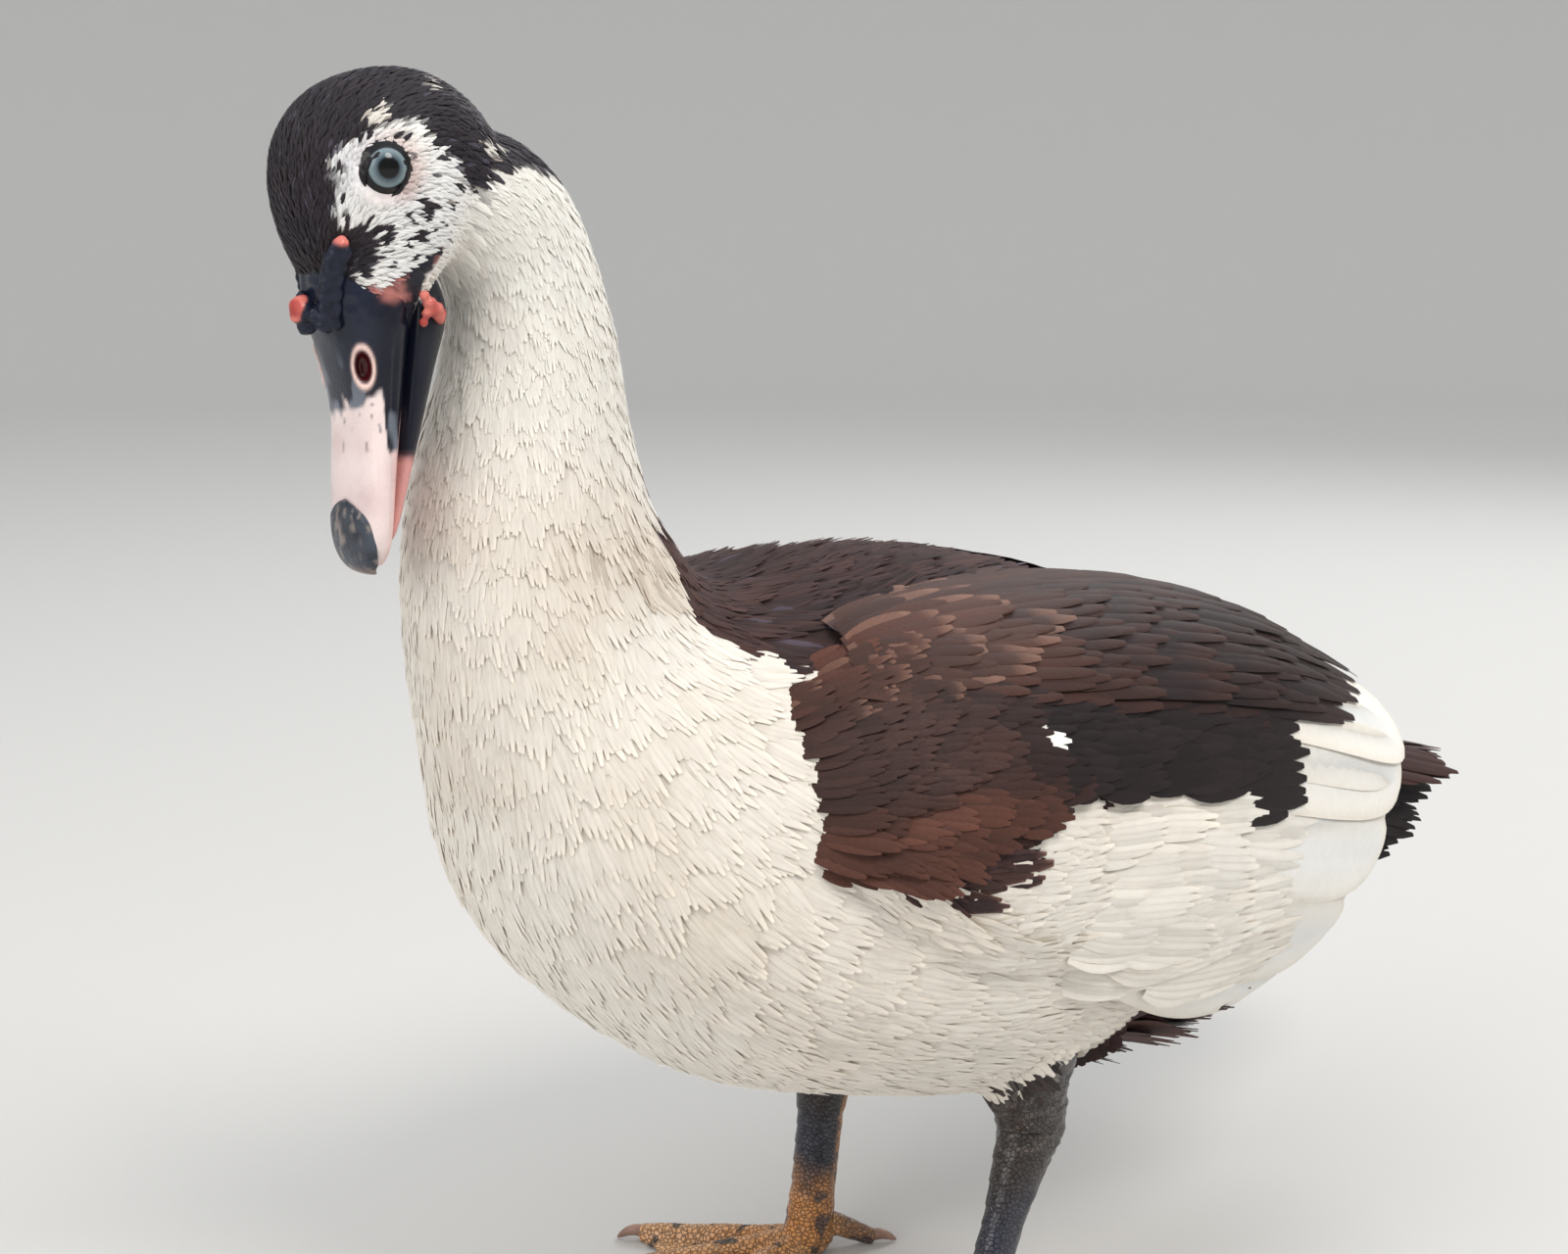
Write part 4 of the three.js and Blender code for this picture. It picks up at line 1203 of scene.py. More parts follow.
def feather_nodes(barb, depth, streak):
    """Barbs that run out from the shaft to the tip, as relief and as faint streaks of colour."""

    def build(nodes, links, shader):
        base = tinted(nodes, links, 0.06, 0.004)
        place = nodes.new("ShaderNodeUVMap")
        place.uv_map = "Vane"
        split = nodes.new("ShaderNodeSeparateXYZ")
        links.new(place.outputs[0], split.inputs[0])
        across = math_node(nodes, links, "SUBTRACT", split.outputs["X"], 0.5)
        out = math_node(nodes, links, "ABSOLUTE", across)
        slant = math_node(nodes, links, "MULTIPLY", out, 1.7)
        course = math_node(nodes, links, "SUBTRACT", split.outputs["Y"], slant)
        join = nodes.new("ShaderNodeCombineXYZ")
        links.new(math_node(nodes, links, "MULTIPLY", course, barb), join.inputs[0])
        links.new(math_node(nodes, links, "MULTIPLY", across, barb * 0.07), join.inputs[1])
        barbs = new_node(nodes, "TexNoise", Scale=1, Detail=3)
        links.new(join.outputs[0], barbs.inputs["Vector"])
        relief(nodes, links, shader, barbs.outputs["Fac"], depth, 0.0004)
        span = {"From_Min": 0.25, "From_Max": 0.75, "To_Min": 1 - streak, "To_Max": 1 + streak}
        tone = shaded(nodes, links, base, barbs.outputs["Fac"], **span)
        links.new(tone, shader.inputs["Base Color"])

    return build


def skin_nodes(size, depth, strength=0.15, distance=0.0006):
    """Stored colours with fine pebbled relief."""

    def build(nodes, links, shader):
        links.new(tinted(nodes, links, strength, size * 3), shader.inputs["Base Color"])
        relief(nodes, links, shader, cells(nodes, links, size), depth, distance)

    return build


def scale_nodes(size):
    """Small domed scales with dark grooves between them."""

    def build(nodes, links, shader):
        base = tinted(nodes, links, 0.15, size * 3)
        dome = new_node(nodes, "MapRange", From_Max=0.16)
        dome.interpolation_type = "SMOOTHSTEP"
        links.new(cells(nodes, links, size, "DISTANCE_TO_EDGE"), dome.inputs["Value"])
        relief(nodes, links, shader, dome.outputs["Result"], 0.9, size * 0.35)
        tone = shaded(nodes, links, base, dome.outputs["Result"], To_Min=0.45, To_Max=1.1)
        links.new(tone, shader.inputs["Base Color"])

    return build


PLUMAGE = material(
    "plumage", 0.75, feather_nodes(60, 0.1, 0.03), Sheen_Weight=0.06, Sheen_Roughness=0.6,
    Subsurface_Weight=0.3, Subsurface_Scale=0.004, Subsurface_Radius=(1, 0.93, 0.86),
    Specular_IOR_Level=0.15,
)
DARK_PLUMAGE = material(
    "dark_plumage", 0.6, feather_nodes(75, 0.4, 0.3), Sheen_Weight=0.03, Sheen_Roughness=0.4,
    Specular_IOR_Level=0.25,
)
FINE_PLUMAGE = material(
    "fine_plumage", 0.6, feather_nodes(90, 0.15, 0.05), Sheen_Weight=0.05, Sheen_Roughness=0.5,
    Subsurface_Weight=0.15, Subsurface_Scale=0.003, Subsurface_Radius=(1, 0.93, 0.86),
    Specular_IOR_Level=0.3,
)
SKIN = material("skin", 0.6, skin_nodes(0.0012, 0.4))
HORN = material(
    "horn", 0.32, skin_nodes(0.0009, 0.16, 0.08, 0.0003), Coat_Weight=0.3, Coat_Roughness=0.12,
    Specular_IOR_Level=0.2,
)
NAIL = material(
    "nail", 0.36, skin_nodes(0.0007, 0.3, 0.2, 0.0003), Coat_Weight=0.15, Coat_Roughness=0.2,
    Specular_IOR_Level=0.25,
)
FLESH = material(
    "flesh", 0.42, skin_nodes(0.0008, 0.35, 0.12, 0.0004), Subsurface_Weight=0.15,
    Subsurface_Scale=0.002, Coat_Weight=0.12, Specular_IOR_Level=0.22,
)
EYE = material(
    "eye", 0.3, skin_nodes(0.0005, 0.0, 0.03), Specular_IOR_Level=0.1, Coat_Weight=0.5,
    Coat_Roughness=0.02,
)
SCALES = material("scales", 0.36, scale_nodes(0.0014), Coat_Weight=0.3, Coat_Roughness=0.2)


def dress(thing, made):
    """Gives an object its material."""
    thing.data.materials.clear()
    thing.data.materials.append(made)
    return thing


dress(skin, SKIN)
paint(skin, marks(points_of(skin)))

# The parts of the coat: each zone is true where its feathers grow

WAIST = 150  # the height that parts the upper coat from the lower


def head_zone(points):
    return (along_spine(points) < HEAD_END) & eye_clear(points) & ~bare_face(points)


def spine_zone(low, high):
    def zone(points):
        place = along_spine(points)
        return (place >= low) & (place < high)

    return zone


def trunk_zone(points):
    return (along_spine(points) >= NECK_END) & ~under_wing(points) & (points[:, 2] > 84)


def upper_zone(points):
    return trunk_zone(points) & (points[:, 2] > WAIST)


def lower_zone(points):
    clear = np.ones(len(points), bool)
    for far in off_thighs(points):
        clear &= (far > THIGH_REACH) | (points[:, 2] > THIGH_TOP)
    return trunk_zone(points) & (points[:, 2] <= WAIST) & clear


def vent_zone(points):
    ahead = -points[:, 1]
    return (ahead < -36) & (ahead > -104) & (points[:, 2] < 116) & (np.abs(points[:, 0]) < 48)


def half_of(zone, sign, middle):
    """One side of a zone, to the left or right of a middle."""
    return lambda points: (zone(points) & ((points[:, 0] - middle) * sign > 0)).astype(float)


VENT = [(0, 4.5, 28, 4.5, 4.5, 40), (14, 4.5, 32, 5.0, 5.5, 40)]
HEAD_LOOK = {"yaw": 0.2, "blunt": 1.4, "tilt": 0.4}
BODY_LOOK = {"yaw": 0.12}
VENT_LOOK = {"yaw": 0.18, "stand": 0.3, "blunt": 2.2, "darkest": True, "table": VENT}
# Name, zone, the line that parts left from right, seed, stations, blades, material and look
COAT_PIECES = [
    ("head", head_zone, 6, 101, 4, 1, FINE_PLUMAGE, HEAD_LOOK),
    ("nape", spine_zone(HEAD_END, NAPE_END), 5, 212, 5, 4, PLUMAGE, BODY_LOOK),
    ("neck", spine_zone(NAPE_END, NECK_END), 3, 202, 5, 7, PLUMAGE, BODY_LOOK),
    ("upper", upper_zone, 0, 303, 5, 8, PLUMAGE, BODY_LOOK),
    ("lower", lower_zone, 0, 404, 5, 8, PLUMAGE, BODY_LOOK),
    ("vent", vent_zone, 0, 505, 5, 5, DARK_PLUMAGE, VENT_LOOK),
]
for name, zone, middle, seed, stations, blades, made, look in COAT_PIECES:
    for side_name, sign in SIDES:
        keep = half_of(zone, sign, middle)
        piece_name = f"coat_{name}_{side_name}"
        coat_piece(piece_name, keep, seed + 3 * sign, stations, blades, made, **look)


# Wings


def shell_line(root, tip, low, high, stations, sign):
    """Lines on the wing's shell, from roots to tips of (ahead, angle), with normals and sides."""
    v = np.linspace(0, 1, stations)[None]
    ahead = mix(root[:, :1], tip[:, :1], v)
    angle = mix(root[:, 1:], tip[:, 1:], v)
    lift = mix(low[:, None], high[:, None], np.sqrt(v))
    line = on_shell(ahead, angle, lift)
    along = on_shell(ahead + 2, angle, lift) - on_shell(ahead - 2, angle, lift)
    round_ = on_shell(ahead, angle + 1.5, lift) - on_shell(ahead, angle - 1.5, lift)
    up = unit(np.cross(round_, along))
    outward = line - at(0, ahead, 155)
    up = up * np.sign((up * outward).sum(-1, keepdims=True))
    ways = np.gradient(line, axis=1)
    if sign < 0:
        line, up, ways = line * MIRROR, up * MIRROR, ways * MIRROR
    side = unit(np.cross(ways, up))
    return line, unit(np.cross(side, ways)), side


# How high over the shell the wing's feathers lie, by how far ahead, and the first and last angle
# of the folded wing
WING_TOP = [
    (-200, -3.5), (-120, 0.6), (-80, 2.0), (-40, 3.4), (-5, 4.6), (22, 6.0), (44, 7.0), (58, 5.6),
    (70, 1.6), (82, -5),
]
PAD_FIRST = [(-30, 14), (-5, 19), (22, 26), (44, 31), (58, 34), (70, 38), (78, 44)]
PAD_LAST = [(-30, 116), (-5, 112), (22, 109), (44, 103), (58, 97), (70, 90), (78, 78)]


def wing_top(ahead, angle):
    """How high over the shell the wing's feathers lie at each place."""
    first, last = curve(ahead, PAD_FIRST), curve(ahead, PAD_LAST)
    edge = np.minimum(smooth(-2, 9, angle - first), smooth(-2, 9, last - angle))
    top = curve(ahead, WING_TOP)
    return np.where(ahead > -25, mix(-6, top, edge), top)


def wing_marks(ahead, angle):
    """The wing's colour at each place, and whether it is dark there: russet above, black coverts,
    white below and behind."""
    spots = on_shell(ahead, angle, 0)
    ragged = 4.0 * (noise(spots, 9, 41) - 0.5) + 3.0 * (noise(spots, 4, 44) - 0.5)
    dark = smooth(0.5, -0.5, angle - curve(ahead, WING_LOW) - ragged)
    dark = dark * smooth(-95, -92, ahead + 1.5 * ragged)
    drift = noise(spots, 26, 42) - 0.5
    russet = smooth(54, 34, angle + 14 * drift) * smooth(-40, -4, ahead + 30 * drift)
    front = smooth(4, 44, ahead + 26 * drift)
    low_front = smooth(72, 79, angle + 6 * drift) * smooth(-4, 12, ahead)
    tone = tinge(DARK, mix(MANTLE, RUSSET, 0.35), 0.9 * front)
    tone = tinge(tone, RUSSET * 1.15, np.maximum(russet * 0.9, low_front))
    tone = tone * mix(0.8, 1.25, noise(spots, 12, 43))[..., None]
    return tinge(mix(BRIGHT, CREAM, 0.3), tone, dark > 0.5), dark > 0.5


RIM_EDGE = 0.6  # how far the pale rim shows on a feather's sides, against 1 at its tip


def fan_piece(
    name, line, up, side, half, tone, rim, places, blades, own, made,
    sag=90.0, spread=0.5, rimmed=0.6, blunt=2.0, tilt=0.25,
):
    """Feathers of a wing or tail as fans of blades, each feather with its own colour and rim."""
    count, stations, _ = line.shape
    line, up, side = fans(line, up, side, half, blades, own, np.full(count, sag), spread)
    sides = smooth(0.7, 1, np.abs(np.linspace(-1, 1, blades)))[None, :, None]
    edge = smooth(0.78, 1, np.linspace(0, 1, stations))[None, None, :] + RIM_EDGE * sides
    grain = own.uniform(0.86, 1.14, (count, blades, 1, 1))
    tone = tone if tone.ndim == 3 else tone[:, None]
    tint = tinge(tone[:, None] * grain, rim[:, None, None], rimmed * np.clip(edge, 0, 1))
    tint = tint.reshape(count * blades, stations, 1, 3)
    width = np.repeat(half, blades)[:, None] * 2.0 / blades
    width = width * tuft_width(stations, blunt)[None]
    places = np.repeat(places, blades, 0)
    thing = feathers(name, line, up, side, width, tint, places, 0.15, 3, tilt)
    return dress(thing, made)


# The small feathers of the wing: how far ahead, the step to the next row, the gap between
# feathers, and their length and half width
COVERT_SIZES = [
    (82, 4.6, 4.8, 15, 2.9),
    (60, 5.2, 5.6, 20, 3.5),
    (30, 6.0, 6.6, 27, 4.4),
    (0, 7.0, 8.0, 36, 5.6),
    (-30, 8.0, 9.0, 44, 6.6),
    (-60, 9.0, 10.0, 46, 7.0),
]


MID_RADIUS = 80  # the wing's shell is about this far from its middle


def covert_rows(own, start, end, first, last, droop, scale=1.0):
    """Roots and tips of small feathers in staggered rows, with half widths."""
    sizes = np.array(COVERT_SIZES)
    roots, tips, halves = [], [], []
    ahead, odd = start, 0
    while ahead > end:
        step, gap, length, half = (
            np.interp(-ahead, -sizes[:, 0], sizes[:, k]) for k in (1, 2, 3, 4)
        )
        turn = gap * scale / MID_RADIUS * 57.3
        low, high = curve(ahead, first), curve(ahead, last)
        angle = np.arange(low + turn * (0.5 if odd else 0), high, turn)
        angle = angle + own.uniform(-0.22, 0.22, len(angle)) * turn
        spot = ahead + own.uniform(-0.35, 0.35, len(angle)) * step
        long = length * scale * own.uniform(0.85, 1.15, len(angle))
        fall = droop(spot, angle) + own.normal(0, 0.35, len(angle))
        roots.append(np.stack([spot, angle], -1))
        tips.append(np.stack([spot - long, angle + fall * long / 10], -1))
        halves.append(half * scale * own.uniform(0.9, 1.1, len(angle)))
        ahead -= step * scale
        odd = not odd
    return np.concatenate(roots), np.concatenate(tips), np.concatenate(halves)


def shell_uv(root):
    """A place on an unwrap of the wing's shell."""
    return np.stack([0.5 + root[:, 0] / 400, root[:, 1] / 180], -1)


COVERT_SEED, SCAPULAR_SEED, FLIGHT_SEED, TAIL_SEED = 77, 78, 79, 80
COVERT_STATIONS = 7
WHITE_LOW = [(-90, 116), (40, 108)]  # the lower edge of the white coverts, by how far ahead
WING_SPOT = (13.5, 64)  # one white spot among the dark coverts, by how far ahead and angle


def dark_coverts(side_name, sign, own):
    """The small brown and black feathers of the wing."""

    def droop(ahead, angle):
        return 0.5 + 2.6 * smooth(74, 84, angle) * smooth(0, 20, ahead)

    root, tip, half = covert_rows(own, 82, -52, PAD_FIRST, WING_LOW, droop)
    ahead, angle = mix(root, tip, 0.8).T
    tone, dark = wing_marks(ahead, angle)
    # none lie under the scapulars
    kept = dark & ((angle > 36) | (ahead > 34))
    root, tip, half, ahead, angle, tone = (x[kept] for x in (root, tip, half, ahead, angle, tone))
    low = wing_top(*root.T) - 1.6 - 3.5 * smooth(52, 74, root[:, 0])
    high = wing_top(*tip.T) + own.uniform(0.5, 1.3, len(tip))
    line, up, side = shell_line(root, tip, low, high, COVERT_STATIONS, sign)
    tone = tone * own.uniform(0.8, 1.2, (len(tone), 1))
    pale = (own.random(len(tone)) < 0.3) & (angle < 54) & (ahead > -45)
    rim = np.where(pale[:, None], mix(tone, PALE_EDGE, 0.8), tone * 1.5)
    spot = np.hypot((ahead - WING_SPOT[0]) / 4.6, (angle - WING_SPOT[1]) / 3.2) < 1
    v = np.linspace(0, 1, COVERT_STATIONS)[None, :]
    tint = tinge(tone[:, None], BRIGHT, smooth(0.5, 0.6, v) * spot[:, None])
    rim = np.where(spot[:, None], BRIGHT, rim)
    thing = fan_piece(
        f"coverts_{side_name}", line, up, side, half, tint, rim, shell_uv(root), 5, own,
        DARK_PLUMAGE, rimmed=0.5,
    )
    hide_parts(f"wing_{side_name}")


def white_coverts(side_name, sign, own):
    """Larger ones, from the flank over the roots of the flight feathers."""
    upper_edge = [(ahead, angle - 9) for ahead, angle in WING_LOW]
    root, tip, half = covert_rows(
        own, 6, -62, upper_edge, WHITE_LOW, lambda ahead, angle: 0.6, 1.15
    )
    ahead, angle = mix(root, tip, 0.8).T
    tone, dark = wing_marks(ahead, angle)
    kept = ~dark & (angle < 124)
    root, tip, half, tone = (x[kept] for x in (root, tip, half, tone))
    low = wing_top(*root.T) - 2.6 - 4 * smooth(-24, 4, root[:, 0])
    high = wing_top(*tip.T) + own.uniform(-0.4, 0.3, len(tip))
    high = high - 1.5 * smooth(-50, -30, tip[:, 0])
    line, up, side = shell_line(root, tip, low, high, COVERT_STATIONS, sign)
    tone = mix(tone, mix(WHITE, CREAM, own.random((len(tone), 1))), 0.4)
    fan_piece(
        f"white_coverts_{side_name}", line, up, side, half * 1.15, tone, BRIGHT + 0 * tone,
        shell_uv(root), 9, own, PLUMAGE, rimmed=0.25, tilt=0.1,
    )


# Rows of scapulars from the back forward: how many, (ahead, angle) of the roots and of the tips
# from the innermost feather to the outermost, half width, and height over the shell at the root
# and at the tip
SCAPULARS = [
    (8, (6, 20), (14, 53), (-184, 29), (-136, 63), 8.0, 1.0, 3.6),
    (9, (10, 21), (18, 52), (-164, 27), (-122, 61), 7.8, 1.5, 4.2),
    (9, (16, 21), (24, 51), (-142, 25), (-104, 60), 7.6, 2.0, 4.8),
    (10, (22, 22), (30, 51), (-120, 23), (-86, 59), 7.2, 2.5, 5.4),
    (10, (28, 22), (36, 50), (-96, 22), (-66, 58), 6.8, 3.0, 6.0),
    (11, (34, 23), (42, 50), (-72, 21), (-46, 57), 6.4, 3.5, 6.6),
    (11, (39, 24), (48, 49), (-48, 20), (-28, 56), 6.0, 4.0, 7.2),
    (12, (44, 25), (53, 48), (-26, 19), (-10, 55), 5.6, 4.2, 7.8),
    (12, (49, 26), (58, 48), (-4, 19), (8, 54), 5.2, 4.2, 8.2),
    (13, (54, 28), (64, 48), (16, 20), (24, 53), 4.8, 3.8, 8.0),
]
SINK = 8  # how deep the innermost scapulars go into the feathers of the back


def make_scapulars(side_name, sign):
    """Long feathers from the shoulder over the upper edge of the folded wing."""
    own = np.random.default_rng(SCAPULAR_SEED)
    stations = 12
    parts = []
    for n, (count, root_a, root_b, tip_a, tip_b, half, low, high) in enumerate(SCAPULARS):
        share = np.linspace(0, 1, count)[:, None]
        root = mix(np.array(root_a, float), np.array(root_b, float), share)
        tip = mix(np.array(tip_a, float), np.array(tip_b, float), share)
        root = root + own.normal(0, 1.0, root.shape)
        tip[:, 0] += own.uniform(-9, 9, count)
        tip[:, 1] += own.normal(0, 1.2, count)
        level = np.linspace(0.5, -0.5, count) + own.uniform(-0.2, 0.2, count)
        same = np.ones(count)
        parts.append([root, tip, half * same, low + level, high + level, n * same])
    root, tip, half, low, high, row = (np.concatenate(part) for part in zip(*parts))
    low = low - SINK * smooth(38, 20, root[:, 1])
    high = high - SINK * smooth(38, 20, tip[:, 1])
    line, up, side = shell_line(root, tip, low, high, stations, sign)
    base = mix(MANTLE, RUSSET, own.uniform(0.3, 1.15, (len(root), 1)))[:, None]
    base = base * own.uniform(0.75, 1.15, (len(root), 1, 1))
    # the further back its tip, the blacker a feather ends
    v = np.linspace(0, 1, stations)[None]
    ahead, angle = (mix(root[:, None, k], tip[:, None, k], v) for k in (0, 1))
    back, strip = smooth(24, -52, ahead), smooth(36, 28, angle)
    tone = tinge(base, DARK * 1.1, back * (0.95 - 0.55 * strip))
    pale = (own.random(len(root)) < 0.4) & (row > 3) & (tip[:, 0] > -14)
    rim = np.where(pale[:, None], PALE_EDGE, RUSSET)
    rim = np.where((row < 4)[:, None], mix(DARK, RUSSET, 0.5), rim)
    fan_piece(
        f"scapulars_{side_name}", line, up, side, half, tone, rim, shell_uv(root), 5, own,
        DARK_PLUMAGE, rimmed=0.5, blunt=2.4, spread=0.6,
    )


# How much further than an even row the tip of each secondary reaches, from the top down
LOBES = np.array([3, -9, 6, -6, 8, -9, 7, -2])
PRIMARIES = 4  # the white tip of one shows, the rest are dark
FLIGHT_SHADE = colour("#d9dee0")
FLIGHT_RIM = colour("#e9d9ba")


def span(first, last, share):
    """Pairs of ahead and angle, evenly from a first to a last."""
    return mix(np.array(first, float), np.array(last, float), share)


def make_flight(side_name, sign):
    """The white secondaries, and above them the ends of the folded primaries."""
    own = np.random.default_rng(FLIGHT_SEED)
    stations, columns = 22, 7
    count = len(LOBES)
    share, more = (np.linspace(0, 1, n)[:, None] for n in (count, PRIMARIES))
    tip = span((-188, 66), (-118, 132), share)
    tip[:, :1] -= 6 * 4 * share * (1 - share) + LOBES[:, None]
    root = np.concatenate([span((-26, 56), (-18, 110), share), span((-60, 46), (-64, 62), more)])
    tip = np.concatenate([tip, span((-216, 35), (-200, 60), more)])
    half = np.repeat([14.5, 9.5], [count, PRIMARIES])
    low = np.repeat([-1.8, -4.5], [count, PRIMARIES])
    high = mix(0.9, -0.5, share[:, 0]) + 0.5 * (LOBES > 0)
    high = np.concatenate([high, mix(-1.4, -3.6, more[:, 0])])
    line, up, side = shell_line(root, tip, low, high, stations, sign)
    v = np.linspace(0, 1, stations)[None, :, None]
    u = np.linspace(-1, 1, columns)
    white = mix(BRIGHT, CREAM, own.uniform(0.1, 0.4, (len(root), 1)))[:, None, None]
    tint = tinge(white, FLIGHT_SHADE, 0.55 * (hump(u / 0.5) * smooth(0.2, 0.6, v)))
    rim = smooth(0.92, 1, v) + smooth(0.86, 1, np.abs(u)) * 0.5
    tint = tinge(tint, FLIGHT_RIM, 0.4 * np.clip(rim, 0, 1))
    black = (np.arange(len(root)) >= count + 1)[:, None, None, None]
    tint = np.where(black, DARK * 1.2, tint)
    width = half[:, None] * tuft_width(stations, 2.6)[None]
    name = f"flight_feathers_{side_name}"
    thing = feathers(name, line, up, side, width, tint, shell_uv(root), 0.1, columns, 0.15)
    dress(thing, PLUMAGE)
    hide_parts(f"flight_{side_name}")


for side_name, sign in SIDES:
    covert_draws = np.random.default_rng(COVERT_SEED)
    dark_coverts(side_name, sign, covert_draws)
    white_coverts(side_name, sign, covert_draws)
    make_scapulars(side_name, sign)
    make_flight(side_name, sign)


# Tail


# Sets of tail feathers and coverts: pairs, gap between roots, (ahead, up) of the inner and the
# outer root and tip, spread, half width, darkness, and how many degrees the inner and the outer
# pair lean outward
TAIL_SETS = [
    (8, 1.7, (-200, 157), (-200, 152), (-276, 138), (-258, 136), 3.4, 8.0, 0.3, 5, 50),
    (3, 5.0, (-186, 172), (-184, 168), (-236, 152), (-228, 146), 8.0, 8.5, 0.5, 10, 50),
    (3, 6.0, (-176, 174), (-172, 168), (-216, 160), (-208, 152), 9.0, 8.5, 0.6, 10, 50),
    (4, 4.0, (-196, 150), (-194, 146), (-272, 129), (-258, 127), 4.0, 8.0, 1.0, 20, 60),
    (4, 4.5, (-188, 144), (-184, 140), (-264, 119), (-252, 117), 4.6, 8.0, 1.0, 20, 60),
    (4, 5.5, (-176, 136), (-170, 132), (-256, 117), (-244, 116), 5.0, 8.0, 1.0, 20, 60),
    (4, 6.5, (-160, 128), (-154, 124), (-242, 112), (-230, 113), 5.4, 8.0, 1.0, 20, 60),
]
TAIL_STAGGER = 0.3  # the left feather of a pair is this much higher, and the right one lower


def make_tail():
    """The feathers of the tail, with coverts over and under them."""
    own = np.random.default_rng(TAIL_SEED)
    stations = 10
    roots, tips, halves, darks, leans = [], [], [], [], []
    for pairs, gap, root_a, root_b, tip_a, tip_b, spread, half, dark, lean, most in TAIL_SETS:
        for k in range(pairs):
            share = k / max(pairs - 1, 1)
            for _, sign in SIDES:
                ahead, up = span(root_a, root_b, share)
                tip_ahead, tip_up = span(tip_a, tip_b, share)
                stagger = TAIL_STAGGER * sign
                tip_ahead = tip_ahead + own.uniform(-4, 4)
                roots.append([sign * gap * (k + 0.4), ahead, up + stagger])
                tips.append([sign * spread * (k + 0.4), tip_ahead, tip_up + stagger])
                halves.append(half)
                darks.append([dark])
                leans.append(sign * math.radians(mix(lean, most, share)))
    roots, tips, halves, darks, leans = (
        np.array(x, float) for x in (roots, tips, halves, darks, leans)
    )
    v = np.linspace(0, 1, stations)[None, :, None]
    line = at(*np.moveaxis(mix(roots[:, None], tips[:, None], v), -1, 0))
    up = unit(at(np.sin(leans), -0.35, np.cos(leans)))[:, None] + 0 * line
    ways = np.gradient(line, axis=1)
    side = unit(np.cross(ways, up))
    up = unit(np.cross(side, ways))
    tone = mix(TAIL_BROWN * 1.3, DARK * 0.8, darks) * own.uniform(0.8, 1.2, (len(roots), 1))
    rim = mix(RUSSET * 1.2, DARK, darks)
    places = np.stack([0.5 + roots[:, 0] / 200, 0.5 + tips[:, 2] / 400], -1)
    thing = fan_piece(
        "tail_feathers", line, up, side, halves, tone, rim, places, 7, own, DARK_PLUMAGE,
        sag=40.0, blunt=2.6, rimmed=0.5, spread=0.7,
    )
    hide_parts("tail")


make_tail()


# Bill


BILL_SLATE = colour("#1d2336")
BILL_PINK = colour("#d9c2c1")
BILL_FAIR = colour("#ecdcd9")
BILL_ROSE = colour("#c98f8a")
BILL_WORN = colour("#98a0ae")
NOSTRIL_RIM = colour("#e9c9c0")
NOSTRIL_RED = colour("#4a1016")
NAIL_TONES = [colour(c) for c in ("#23272f", "#474d58", "#b9a99f", "#7d5648")]
NAIL_SHELL = [
    [46, -1.5, 10.9, 4.5, 3],
    [52, -1.7, 10.7, 4.3, 3],
    [57, -2.2, 9.6, 4.2, 3],
    [60.5, -3.0, 8.0, 3.8, 3],
    [62.6, -3.9, 6.2, 3.0, 3],
    [63.6, -4.6, 3.4, 1.6, 2],
]
NAIL_ANGLE = 66  # the nail covers this many degrees to either side of the bill's top
NOSTRIL_SPOT = (9.6, 17.3, 4.1)
NOSTRIL_LONG, NOSTRIL_WIDE = 4.0, 2.1


def nostril_place(spots, sign):
    """A place round a nostril: 1 at its rim, and its share of the way along the bill."""
    look = unit(np.array([0.86 * sign, -0.05, 0.5]))
    along = unit(np.array([0, -1.0, -0.1]))
    along = unit(along - look * (along @ look))
    over = np.cross(look, along)
    left, ahead, up = NOSTRIL_SPOT
    out = spots - at(left * sign, ahead, up)
    far = np.hypot((out @ along) / NOSTRIL_LONG, (out @ over) / NOSTRIL_WIDE)
    return np.where(spots[..., 0] * sign > 2, far + 0.02 * np.abs(out @ look), 9), look


def make_upper_bill():
    """The bill above its edge, with nostrils, a groove and a furrowed root."""
    spots, faces = tube(trunk_rings(UPPER_BILL, 120, 150, 0, 2.5))
    local = spots.copy()
    for _, sign in SIDES:
        far, look = nostril_place(spots, sign)
        deep = -2.6 * smooth(0.95, 0.5, far) + 0.75 * hump((far - 1.12) / 0.16)
        local = local + look * deep[:, None]
    ahead = -spots[:, 1]
    # a groove above the bill's edge, and shallow furrows on its root
    edge = hump((spots[:, 2] + 2.6) / 0.55) * smooth(8, 16, ahead) * smooth(60, 54, ahead)
    local[:, 0] -= np.sign(spots[:, 0]) * 0.5 * edge * smooth(3, 7, np.abs(spots[:, 0]))
    local[:, 2] += (noise(spots, 2.4, 61) - 0.5) * smooth(16, 4, ahead) * 1.1
    upper = new_object("bill_above", bill_to_body(local), faces)
    paint(upper, bill_tint(spots))
    dress(upper, HORN)
    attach(upper, "root")
    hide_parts("bill_upper")


def make_lower_bill():
    spots, faces = tube(trunk_rings(LOWER_BILL, 72, 80, -0.1, 2.3))
    lower = new_object("bill_below", bill_to_body(spots), faces)
    rosy = smooth(36, 39, -spots[:, 1] + 6 * (noise(spots, 5, 62) - 0.5))
    paint(lower, tinge(BILL_DARK, BILL_ROSE, rosy))
    dress(lower, HORN)
    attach(lower, "root")
    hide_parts("bill_lower")


